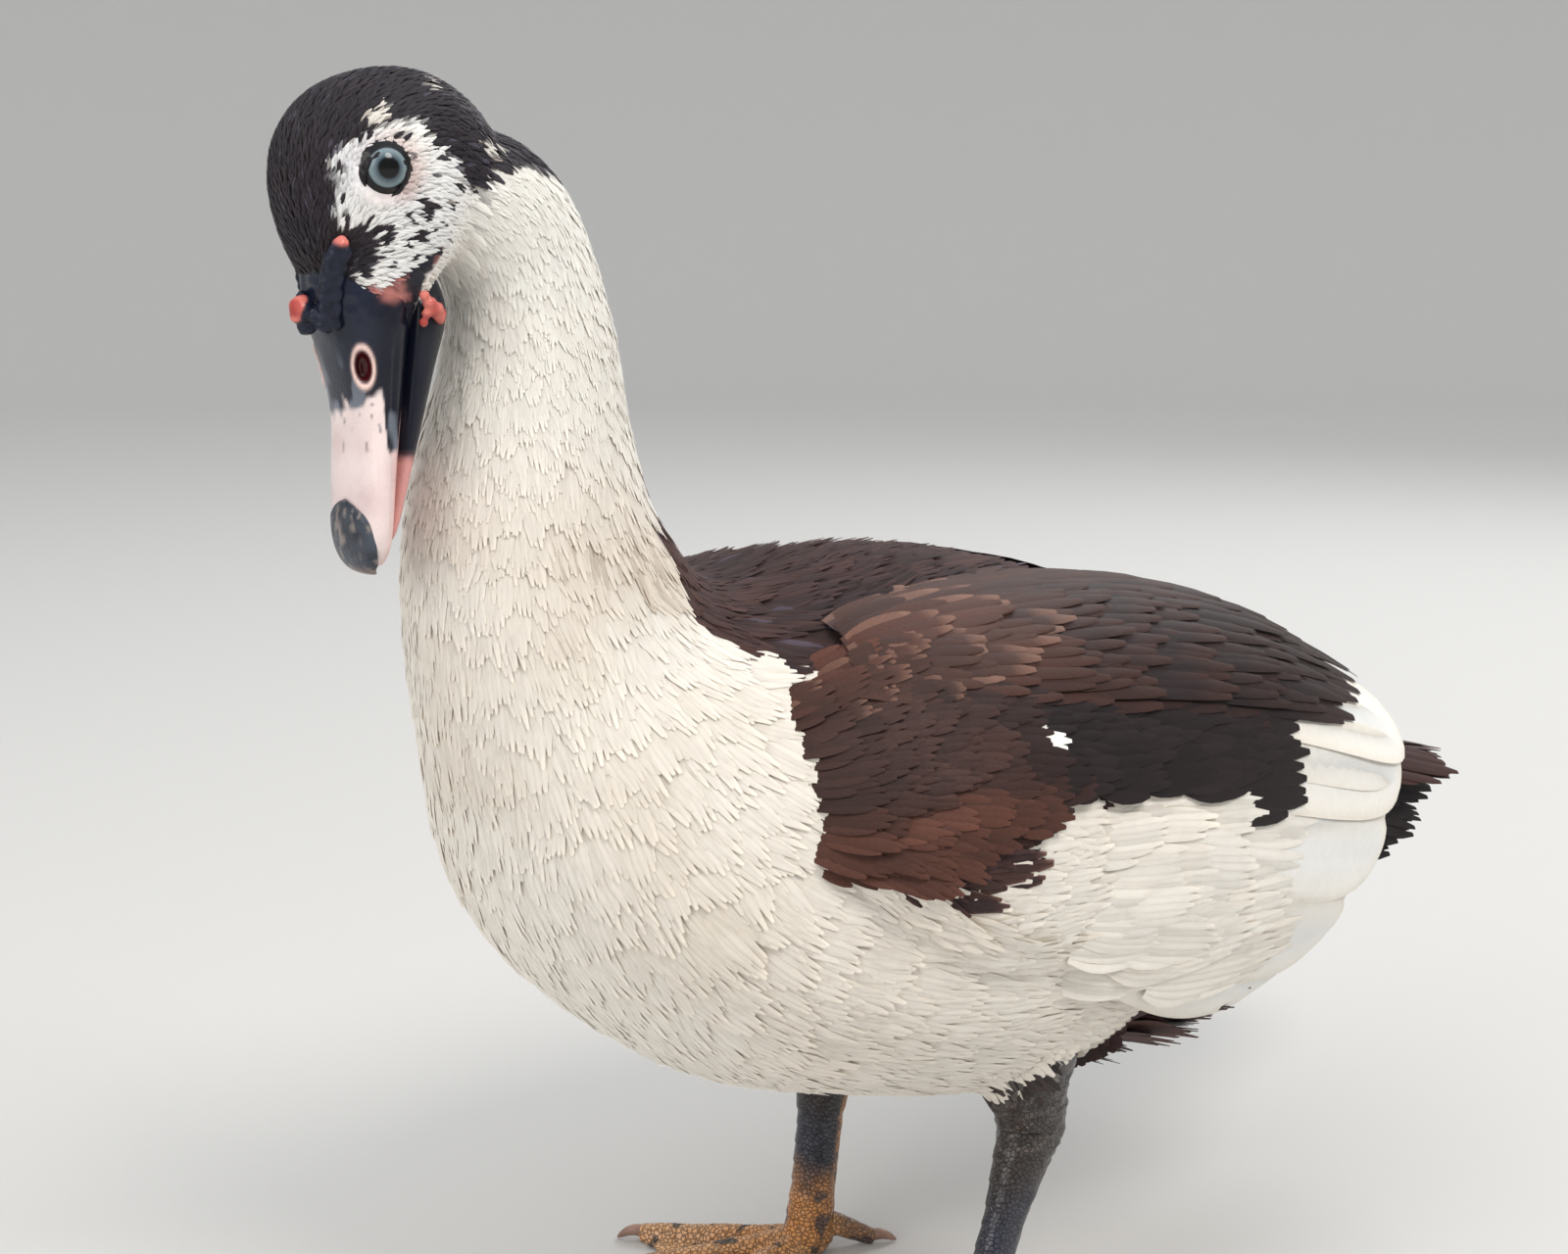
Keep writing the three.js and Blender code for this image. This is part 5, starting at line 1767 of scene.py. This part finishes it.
def make_nail():
    """A smooth shield over the bill's tip that hooks down."""
    share = np.linspace(-1, 1, 25)
    rings = []
    for step in np.linspace(0, 1, 31):
        wide = NAIL_ANGLE * (1 - (1 - step) ** 2.6) ** 0.5 + 3
        angle = wide * (1 - 0.3 * smooth(0.8, 1, step)) * share
        lift = mix(0.1, 1.0, np.clip(1 - share**4, 0, 1)) * mix(0.1, 1, min(1, 5 * step))
        ahead = mix(46.5, 63.4, step) + 1.5 * share**2 * (1 - step)
        upper = on_shell(ahead, angle, lift, NAIL_SHELL, 2.4)
        lower = on_shell(ahead, angle[::-1], -1.6, NAIL_SHELL, 2.4)
        rings.append(np.concatenate([upper, lower]))
    spots, faces = tube(np.array(rings))
    nail = new_object("nail", bill_to_body(spots), faces)
    dark, grey, scratch, tip = NAIL_TONES
    tone = tinge(dark, grey, noise(spots, 2.2, 65))
    tone = tinge(tone, scratch, 0.4 * smooth(0.6, 0.8, noise(spots * [4, 0.7, 1], 2.2, 64)))
    paint(nail, tinge(tone, tip, 0.6 * smooth(61, 63.5, -spots[:, 1])))
    dress(nail, NAIL)
    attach(nail, "root")
    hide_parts("bill_nail")


def bill_tint(spots):
    """Slate to blue-black over the root and sides, blotched where it meets the pink of the tip."""
    ahead, up = -spots[:, 1], spots[:, 2]
    aside = np.abs(spots[:, 0])
    side = smooth(8.5, 10.8, aside) * smooth(0.5, -2.2, up)
    blot = 8 * (noise(spots, 4.2, 66) - 0.5) + 4 * (noise(spots, 1.6, 67) - 0.5)
    border = 27 - 3 * smooth(6, 11, aside) + 13.5 * side
    tone = tinge(BILL_DARK, BILL_SLATE, noise(spots, 7, 68) * smooth(2, 9, up + 3))
    worn = smooth(0.62, 0.75, noise(spots * [1, 0.5, 1], 3, 69)) * smooth(12, 24, ahead) * 0.45
    tone = tinge(tone, BILL_WORN, worn)
    fair = tinge(BILL_PINK, BILL_FAIR, noise(spots, 6, 70))
    fair = tinge(fair, BILL_ROSE, 0.5 * smooth(-1.5, -4, up))
    flecks = smooth(0.78, 0.84, noise(spots, 1.5, 71)) * smooth(44, 30, ahead)
    fair = tinge(fair, BILL_SLATE, 0.6 * flecks)
    tone = tinge(tone, fair, smooth(-1.6, 1.6, ahead - border + blot))
    root = smooth(4.2, 0.8, ahead + 5 * (noise(spots, 3, 72) - 0.5)) * smooth(4, 9, aside)
    tone = tinge(tone, PATCH, root * smooth(4, 0, up) * smooth(-7, -4, up) * 0.8)
    for _, sign in SIDES:
        far, _ = nostril_place(spots, sign)
        tone = tinge(tone, NOSTRIL_RIM, np.clip(1.25 * hump((far - 1.1) / 0.17), 0, 1))
        tone = tinge(tone, NOSTRIL_RED, smooth(0.95, 0.72, far))
    return tone


make_upper_bill()
make_lower_bill()
make_nail()


# Caruncles, in the head's frame: the line of the ridge as left, ahead and up, beads of the gape
# with a radius, and knobs of the brow with a radius and how red each is

RED_DEEP = colour("#a8443f")
RIDGE_BEADS = 22
RIDGE = [
    (12.8, 21.4, 9.4),
    (11.6, 23.6, 9.2),
    (9.6, 27.2, 7.9),
    (8.0, 30.8, 6.1),
    (6.8, 34.4, 3.9),
    (5.8, 37.6, 1.9),
]
GAPE = [
    (13.2, 21.6, -13.4, 1.2),
    (13.0, 22.4, -15.4, 1.5),
    (12.4, 22.8, -17.4, 1.8),
    (11.2, 23.0, -19.2, 1.8),
    (10.2, 23.6, -20.6, 1.3),
    (12.6, 24.6, -16.0, 1.2),
    (12.0, 26.6, -16.4, 1.0),
]
KNOBS = [
    (2.6, 35.4, 6.2, 3.1, 1),
    (2.2, 38.0, 3.6, 2.0, 0),
    (5.2, 35.8, 4.2, 1.6, 0),
    (-1.8, 32.0, 5.2, 1.6, 0),
]


def caruncle_beads():
    """Lumps as left, ahead, up, a radius and how red each is, in the head's frame."""
    beads = list(KNOBS)
    for n, (left, ahead, up) in enumerate(row_at(RIDGE, np.linspace(0, 1, RIDGE_BEADS))):
        radius = 1.85 - 0.8 * (n % 2) - 0.2 * (n < 2)
        ahead, up = ahead - 0.4, up - 0.5
        if n > 3:
            # folds run down from the ridge to the bill
            beads.append((left + 1.3, ahead - 0.9, up - 1.5, 1.45 - 0.6 * (n % 3 == 0), 0.0))
            beads.append((left - 1.8, ahead - 0.6, up - 0.7, 1.4 - 0.6 * (n % 3 == 1), 0.0))
        beads.append((left, ahead, up, radius, float(n < 2)))
        beads.append((-0.85 * left, ahead - 1.6, up - 2.6, radius, float(n < 2)))
    for left, ahead, up, radius in GAPE:
        beads += [(left, ahead, up, radius, 1.0), (-left, ahead, up, radius, 1.0)]
    return np.array(beads, float)


def make_caruncles():
    """The lumps melted into one: a ridge before each eye, knobs on the brow, and the gape."""
    beads = caruncle_beads()
    bodies = []
    for n, (left, ahead, up, radius, _) in enumerate(beads):
        spots, faces = ellipsoid(at(left, ahead, up), (radius, radius, radius), 20, 14, 0.3, n)
        bodies.append((head_to_body(spots), faces))
    thing = remeshed("caruncles", bodies, 0.35, 2)
    spots = points_of(thing)
    centres = head_to_body(at(*beads[:, :3].T))
    weight = np.zeros(len(spots))
    red = np.zeros(len(spots))
    for centre, bead in zip(centres, beads):
        near = np.exp(-((spots - centre) ** 2).sum(1) / (2 * 1.3**2)) + 1e-9
        red += near * bead[4]
        weight += near
    red = smooth(0.35, 0.65, red / weight)
    rosy = tinge(SALMON, RED_DEEP, smooth(0.35, 0.8, noise(spots, 2.2, 83)))
    creased = smooth(0.6, 0.66, noise(spots, 1.3, 81)) * smooth(0.5, 0.9, noise(spots, 5, 84))
    rosy = tinge(rosy, BILL_DARK, 0.6 * creased)
    slate = tinge(BILL_DARK, BILL_SLATE, noise(spots, 1.2, 82))
    paint(thing, tinge(slate, rosy, red))
    dress(thing, FLESH)
    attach(thing, "root")


make_caruncles()


# Eyes and lids

LID_SPOT = at(12.4, 2, 7.5)
EYE_RADIUS = 7.4
EYE_LOOK = unit(at(1, 0.36, 0.14))
IRIS_LOOK = unit(at(1, 0.2, 0.22))
AROUND = 96
# From the middle of the eye outward: the colours, and the angles between which each gives way
PUPIL, IRIS_INNER, IRIS_PALE, LIMB = (
    colour(c) for c in ("#010204", "#33424c", "#7f9096", "#0c0c10")
)
PUPIL_EDGE, IRIS_FADE, LIMB_EDGE = (15.5, 18.5), (15, 31), (31.5, 34.5)
LID_ROSE, LID_PALE, LID_GREY, LID_DARK = (
    colour(c) for c in ("#b98480", "#d9b3ab", "#4b3d42", "#121015")
)
LID_SHIFT = 0.45  # how far the lids sit ahead of the eyeball's middle
# Rings from the eyeball over the lid's rim to the face: reach past the opening, and stand
LID_RINGS = [
    (-0.5, -1.6), (-0.15, 0.05), (0.15, 0.3), (0.6, 0.34), (1.1, 0.1), (1.7, -0.2),
    (2.3, -0.9), (2.8, -2.0), (2.4, -3.4), (1.2, -4.2),
]


def eye_axes(look):
    """The ways to the front and up in the plane square to a look."""
    fore = at(0, 1, 0)
    fore = unit(fore - look * (fore @ look))
    return fore, np.cross(look, fore)


def make_eye(side_name, sign):
    """An eyeball with a black pupil and a pale iris with fine rays."""
    fore, over = eye_axes(IRIS_LOOK)
    polar = np.linspace(0.0015, math.pi - 0.0015, 91)[:, None]
    turn = np.linspace(0, 2 * math.pi, AROUND, endpoint=False)[None]
    # the cornea stands a little proud of the ball
    radius = EYE_RADIUS + 0.35 * smooth(0.62, 0.2, polar)
    out = (
        IRIS_LOOK * (np.cos(polar) * radius + 0 * turn)[..., None]
        + fore * (np.sin(polar) * np.cos(turn) * radius)[..., None]
        + over * (np.sin(polar) * np.sin(turn) * radius)[..., None]
    )
    spots, faces = tube(side_of(out + LID_SPOT, sign))
    thing = new_object(f"eyeball_{side_name}", head_to_body(spots), faces)
    angle = np.degrees(np.broadcast_to(polar, out.shape[:2])).reshape(-1)
    turns = np.broadcast_to(turn, out.shape[:2]).reshape(-1)
    ray = 0.5 + 0.5 * np.sin(turns * 41 + 2 * np.sin(turns * 7))
    tone = tinge(IRIS_INNER, IRIS_PALE, smooth(*IRIS_FADE, angle) * mix(0.75, 1, ray))
    tone = tinge(PUPIL, tone, smooth(*PUPIL_EDGE, angle))
    tone = tinge(tone, LIMB, smooth(*LIMB_EDGE, angle))
    paint(thing, np.concatenate([tone, tone[:1], tone[-1:]]))
    dress(thing, EYE)
    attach(thing, "root")
    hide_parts(f"eye_{side_name}")


def lid_outline(turn):
    """How far the edge of the lids is from the eye's middle: an oval with a corner to the bill."""
    across = np.cos(turn)
    oval = 1 / np.sqrt((across / 5.2) ** 2 + (np.sin(turn) / 4.0) ** 2)
    corner = 1.0 * np.clip(np.cos(turn - 0.25), 0, 1) ** 8
    return oval - 0.8 * np.clip(-across, 0, 1) ** 2 + corner


def make_lids(side_name, sign):
    """Bare lids round the eye, with fine folds and a dark rim, widened by painted shade."""
    fore, over = eye_axes(EYE_LOOK)
    turn = np.linspace(0, 2 * math.pi, AROUND, endpoint=False)
    rings = []
    for n, (past, stand) in enumerate(LID_RINGS):
        reach = lid_outline(turn) + past
        depth = np.sqrt(np.maximum(EYE_RADIUS**2 - np.minimum(reach, 6.9) ** 2, 0)) + stand
        wave = 0.16 * np.sin(9 * turn + n) * (2 <= n <= 6)
        spot = (
            EYE_LOOK * (depth + wave)[:, None]
            + fore * (reach * np.cos(turn))[:, None]
            + over * (reach * np.sin(turn))[:, None]
        )
        rings.append(spot + LID_SPOT + LID_SHIFT * fore)
    count = len(rings)
    # the last ring joins the first again
    faces = ring_faces(count + 1, AROUND) % (count * AROUND)
    spots = side_of(np.array(rings).reshape(-1, 3), sign)
    spots, faces = face_out(spots, [faces])
    thing = new_object(f"lids_{side_name}", head_to_body(spots), faces)
    smoothing = thing.modifiers.new("round", "SUBSURF")
    smoothing.levels = smoothing.render_levels = 1
    ring = np.repeat(np.arange(count), AROUND)[:, None]
    rose = tinge(LID_ROSE, LID_PALE, noise(spots, 2.4, 91))
    grey = tinge(rose, LID_GREY, 0.5 * smooth(0.5, 0.7, noise(spots, 2.6, 92)))
    # rings 0 to 3 are the lids' own dark rim; ring 4, and ring 5 at half, widen it as painted shade
    # of the lids; the last ring, tucked into the face, is dark too
    tone = np.where((ring < 5) | (ring == count - 1), LID_DARK, grey)
    paint(thing, np.where(ring == 5, mix(LID_DARK, grey, 0.5), tone))
    dress(thing, FLESH)
    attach(thing, "root")


for side_name, sign in SIDES:
    make_eye(side_name, sign)
    make_lids(side_name, sign)


# Legs and feet

TOE_LENGTH = 68
CLAW_LENGTH = 9
# Name, degrees outward from the foot's own way, share of the longest, and half thickness
TOES = [("inner", -27, 0.74, 3.9), ("middle", 0, 1, 4.3), ("outer", 25, 0.92, 3.9)]
HIND_TOE = ("hind", 186, 0.44, 3.4)
HIND_ROOT = 21  # the height of the hind toe's root
TOE_SCUTE = 4.2
WEB_TOP, WEB_BOTTOM, WEB_HOLLOW = 2.0, 0.5, 0.2
# Share of the way from the knuckle to the hock, half width, and half depth
SHANK_GIRTH = [
    (0, 6.4, 6.4), (0.25, 5.2, 5.8), (0.6, 5.2, 6.2), (0.86, 7.4, 8.4), (1, 9, 10.2),
    (1.13, 10, 11.4), (1.3, 12.4, 14), (1.46, 15, 17),
]
SHANK_SCUTES = 11
RIGHT_STOUT = 1.22  # the right shank is this much stouter below the hock
SLATE_LEG = colour("#2c2e3c")
LEG_CREASE = colour("#8d8078")
ORANGE = colour("#c98a4e")
PEACH = colour("#d9a97c")
FOOT_SPOTS = colour("#1b1719")
FOOT_BACK = colour("#4a3434")
CLAW_PALE = colour("#c9a08c")
CLAW_DARK = colour("#5a4640")


def ways_back(spots, centres):
    """How far back of its leg's axis each point faces, from -1 to 1."""
    centres = centres[np.argsort(centres[:, 2])]
    left, back = (np.interp(spots[:, 2], centres[:, 2], centres[:, k]) for k in (0, 1))
    return unit(spots[:, :2] - np.stack([left, back], -1))[:, 1]


def make_leg(side_name, leg):
    """The scaled shank, from inside the thigh's coat down to the knuckle."""
    sign = leg["sign"]
    hock_left, hock_ahead, hock_up = leg["hock"]
    foot_left, foot_ahead = leg["knuckle"]
    steps, around = 110, 56
    share = np.linspace(-0.02, 1.46, steps + 1)
    stout = mix(1.0 if sign > 0 else RIGHT_STOUT, 1.0, smooth(0.85, 1.15, share))
    girth = np.array(SHANK_GIRTH, float)
    half, reach = (np.interp(share, girth[:, 0], girth[:, k]) * stout for k in (1, 2))
    left = mix(foot_left, hock_left, np.minimum(share, 1))
    ahead = mix(foot_ahead, hock_ahead, np.minimum(share, 1)) + 2 * smooth(1, 1.3, share)
    rows = np.stack([left, ahead, mix(KNUCKLE_UP, hock_up, share), half, reach, reach], -1)
    rings = neck_rings(rows, around, steps)
    turn = np.linspace(0, 2 * math.pi, around, endpoint=False)[None]
    # broad scutes step down the front, and small scales cover the rest
    centre = rings.mean(1, keepdims=True)
    front = smooth(-0.35, -0.75, np.cos(turn)) * smooth(0.9, 0.8, share)[:, None]
    scute = ((share * SHANK_SCUTES) % 1)[:, None]
    relief = front * (0.45 * (1 - scute) - 0.1) * 0.9
    relief = relief + 0.5 * (noise(rings, 2.1, 95) - 0.5) * (1 - front)
    fold = noise(rings * [0.3, 0.3, 1], 1.1, 94) - 0.5
    relief = relief + 0.9 * fold * smooth(0.78, 0.95, share)[:, None]
    rings = rings + unit(rings - centre) * relief[..., None]
    spots, faces = tube(side_of(rings, sign))
    thing = new_object(f"leg_{side_name}", spots, faces)
    paint(thing, leg_tint(spots, side_of(rings.mean(1), sign), sign))
    dress(thing, SCALES)
    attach(thing, "root")
    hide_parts(f"shank_{side_name}")


def leg_tint(spots, axis, sign):
    """Slate and brown, with orange at the foot and in a strip up the back of the right leg."""
    up = spots[:, 2]
    brown = smooth(48, 66, up + 10 * (noise(spots, 9, 96) - 0.5))
    tone = tinge(SLATE_LEG, HOCK_BROWN, brown)
    low = smooth(44, 26, up + 12 * (noise(spots, 5, 98) - 0.5))
    behind = smooth(0.2, 0.5, ways_back(spots, axis))
    orange = np.maximum(behind, low) * smooth(86, 76, up) if sign < 0 else 0.25 * low
    tone = tinge(tone, ORANGE, 0.9 * orange)
    spotted = smooth(0.62, 0.68, noise(spots, 4, 93)) * orange
    tone = tinge(tone, SLATE_LEG, 0.8 * spotted)
    crease = smooth(0.6, 0.75, noise(spots * [0.35, 0.35, 1], 0.8, 99)) * smooth(60, 70, up)
    return tinge(tone, LEG_CREASE, 0.22 * crease)


def foot_place(leg, turn, along, up):
    """Left, ahead and up at degrees outward from the foot's way, along from its knuckle."""
    left, ahead = leg["knuckle"]
    angle = np.radians(leg["out"] + np.asarray(turn, float))
    return left + along * np.sin(angle), ahead + along * np.cos(angle), up


def toe(leg, name, turn, long, thick):
    """A toe with scutes and swollen joints, from the knuckle or, for the hind one, above it."""
    hind = name == "hind"
    top = HIND_ROOT if hind else KNUCKLE_UP - 2
    reach = long * TOE_LENGTH - CLAW_LENGTH
    share = np.linspace(0, 1, 61)
    scute = (share * reach / TOE_SCUTE) % 1
    girth = mix(1.12, 0.76, share) * (1 + 0.07 * (1 - scute) - 0.02)
    joint = 1 + 0.07 * np.sin(share * math.pi * (1 if hind else 3)) ** 2
    radius = girth * joint * thick
    height = mix(top, FLOOR + 0.6 * thick, share ** (1 if hind else 0.6))
    left, ahead, up = foot_place(leg, turn, share * reach, height)
    return tube(neck_rings(np.stack([left, ahead, up, radius, radius, radius], -1), 20, 60))


def claw(leg, turn, long):
    """A short arched claw, rooted in the end of its toe."""
    t = np.linspace(0, 1, 15)
    width = 2.2 * np.sqrt(np.clip(1 - t**1.7, 0.004, 1))
    reach = long * TOE_LENGTH - CLAW_LENGTH
    left, ahead, _ = foot_place(leg, turn, reach + (t - 0.16) * CLAW_LENGTH * 0.98, 0)
    up = FLOOR + mix(2.6, 0.55, t**1.4) + 1.1 * np.sin(t * math.pi)
    rows = np.stack([left, ahead, up, width * 0.85, width * 0.8, width], -1)
    return tube(neck_rings(rows, 16, 14))


def web(leg, first, second):
    """The skin between two toes, with a hollow edge."""
    across = np.linspace(0, 1, 25)[None]
    out = np.linspace(0.04, 1, 31)[:, None]
    long = mix(first[2], second[2], across) * TOE_LENGTH - CLAW_LENGTH
    hollow = 1 - WEB_HOLLOW * np.sin(math.pi * across) * out
    turn = mix(first[1], second[1], across)
    wrinkle = 0.35 * np.sin(out * 46 + 3 * across) * np.sin(math.pi * across)
    tops = at(*foot_place(leg, turn, out * hollow * long, FLOOR + WEB_TOP + wrinkle))
    base = at(*foot_place(leg, turn, out * hollow * long, FLOOR + WEB_BOTTOM + 0 * wrinkle))
    return tube(np.concatenate([tops, base[:, ::-1]], 1))


def on_floor(points):
    """Points that are nowhere below the floor."""
    return np.maximum(points, [-1e3, -1e3, FLOOR])


def grounded(bodies, sign):
    """Bodies of the left foot, or their mirror image, kept above the floor."""
    return [face_out(on_floor(side_of(points, sign)), faces) for points, faces in bodies]


def make_foot(side_name, leg):
    """The toes and the webs between them, on the floor."""
    sign = leg["sign"]
    knuckle = at(*foot_place(leg, 0, 0, KNUCKLE_UP))
    bodies = [ellipsoid(knuckle, (7.4, 7.8, 7.4), 28, 18)]
    bodies += [toe(leg, *row) for row in (*TOES, HIND_TOE)]
    bodies += [web(leg, *pair) for pair in zip(TOES[:-1], TOES[1:])]
    foot = remeshed(f"web_foot_{side_name}", grounded(bodies, sign), 0.8, 1)
    spots = points_of(foot)
    write_points(foot.data, on_floor(spots))
    tone = tinge(ORANGE, PEACH, noise(spots, 9, 101))
    spotted = smooth(0.60, 0.66, 0.6 * noise(spots, 5, 102) + 0.4 * noise(spots, 2.2, 103))
    tone = tinge(tone, FOOT_SPOTS, 0.9 * spotted)
    paint(foot, tinge(tone, FOOT_BACK, 0.6 * smooth(-4, -10, -spots[:, 1] - leg["knuckle"][1])))
    dress(foot, SCALES)
    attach(foot, "root")
    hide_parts(f"foot_{side_name}")


def make_claws(side_name, leg):
    """The claws of one foot, as one piece."""
    claws = [claw(leg, turn, long) for _, turn, long, _ in [*TOES, HIND_TOE]]
    horn = new_object(f"claws_{side_name}", *joined(grounded(claws, leg["sign"])))
    paint(horn, tinge(CLAW_PALE, CLAW_DARK, noise(points_of(horn), 4, 104)))
    dress(horn, NAIL)
    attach(horn, "root")
    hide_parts(*[f"claw_{name}_{side_name}" for name, *_ in [*TOES, HIND_TOE]])


for side_name, leg in LEGS.items():
    make_leg(side_name, leg)
    make_foot(side_name, leg)
    make_claws(side_name, leg)


# Studio


FLOOR_TONE, SKY_TONE = (0.6, 0.59, 0.57, 1), (0.93, 0.96, 1, 1)
# Name, place and target in metres, size, power and colour
LIGHTS = [
    ("key", (1.5, -0.1, 1.9), (0, 0, 0.2), 1.0, 33, (1, 0.97, 0.93)),
    ("fill", (0.2, -2.2, 1.0), (0, 0, 0.2), 1.8, 20, (1, 0.98, 0.96)),
    ("rim", (-0.6, 1.8, 1.6), (0, 0, 0.25), 0.9, 16, (1, 1, 1)),
]


def area_light(name, spot, target, size, power, tone):
    data = bpy.data.lights.new(name, "AREA")
    data.shape = "DISK"
    data.size, data.energy, data.color = size, power, tone
    lamp = bpy.data.objects.new(name, data)
    bpy.context.scene.collection.objects.link(lamp)
    lamp.location = spot
    lamp.rotation_mode = "QUATERNION"
    lamp.rotation_quaternion = (Vector(target) - Vector(spot)).to_track_quat("-Z", "Y")


def make_studio():
    """A pale floor that curves up into a round wall, far from the bird on every side."""
    turn = np.linspace(0, 2 * math.pi, AROUND, endpoint=False)
    sweep = np.radians(np.linspace(0, 90, 13))
    corner = zip(4 + 2 * np.sin(sweep), 2 - 2 * np.cos(sweep))
    profile = [(0.0001, 0), (1.5, 0), (3, 0), *corner, (6, 4.5)]
    points = np.array([[r * math.cos(t), r * math.sin(t), z] for r, z in profile for t in turn])
    points = (points - SHIFT) / MM
    faces = np.roll(ring_faces(len(profile), AROUND)[:, ::-1], 1, 1)
    floor = new_object("floor", points, [faces])
    floor.data.materials.append(material("floor", 0.9, None, Base_Color=FLOOR_TONE))
    world = bpy.data.worlds.new("studio")
    bpy.context.scene.world = world
    world.use_nodes = True
    back = world.node_tree.nodes["Background"]
    back.inputs[0].default_value = SKY_TONE
    back.inputs[1].default_value = 1.0
    for row in LIGHTS:
        area_light(*row)


make_studio()
bpy.context.scene.view_settings.view_transform = "Standard"
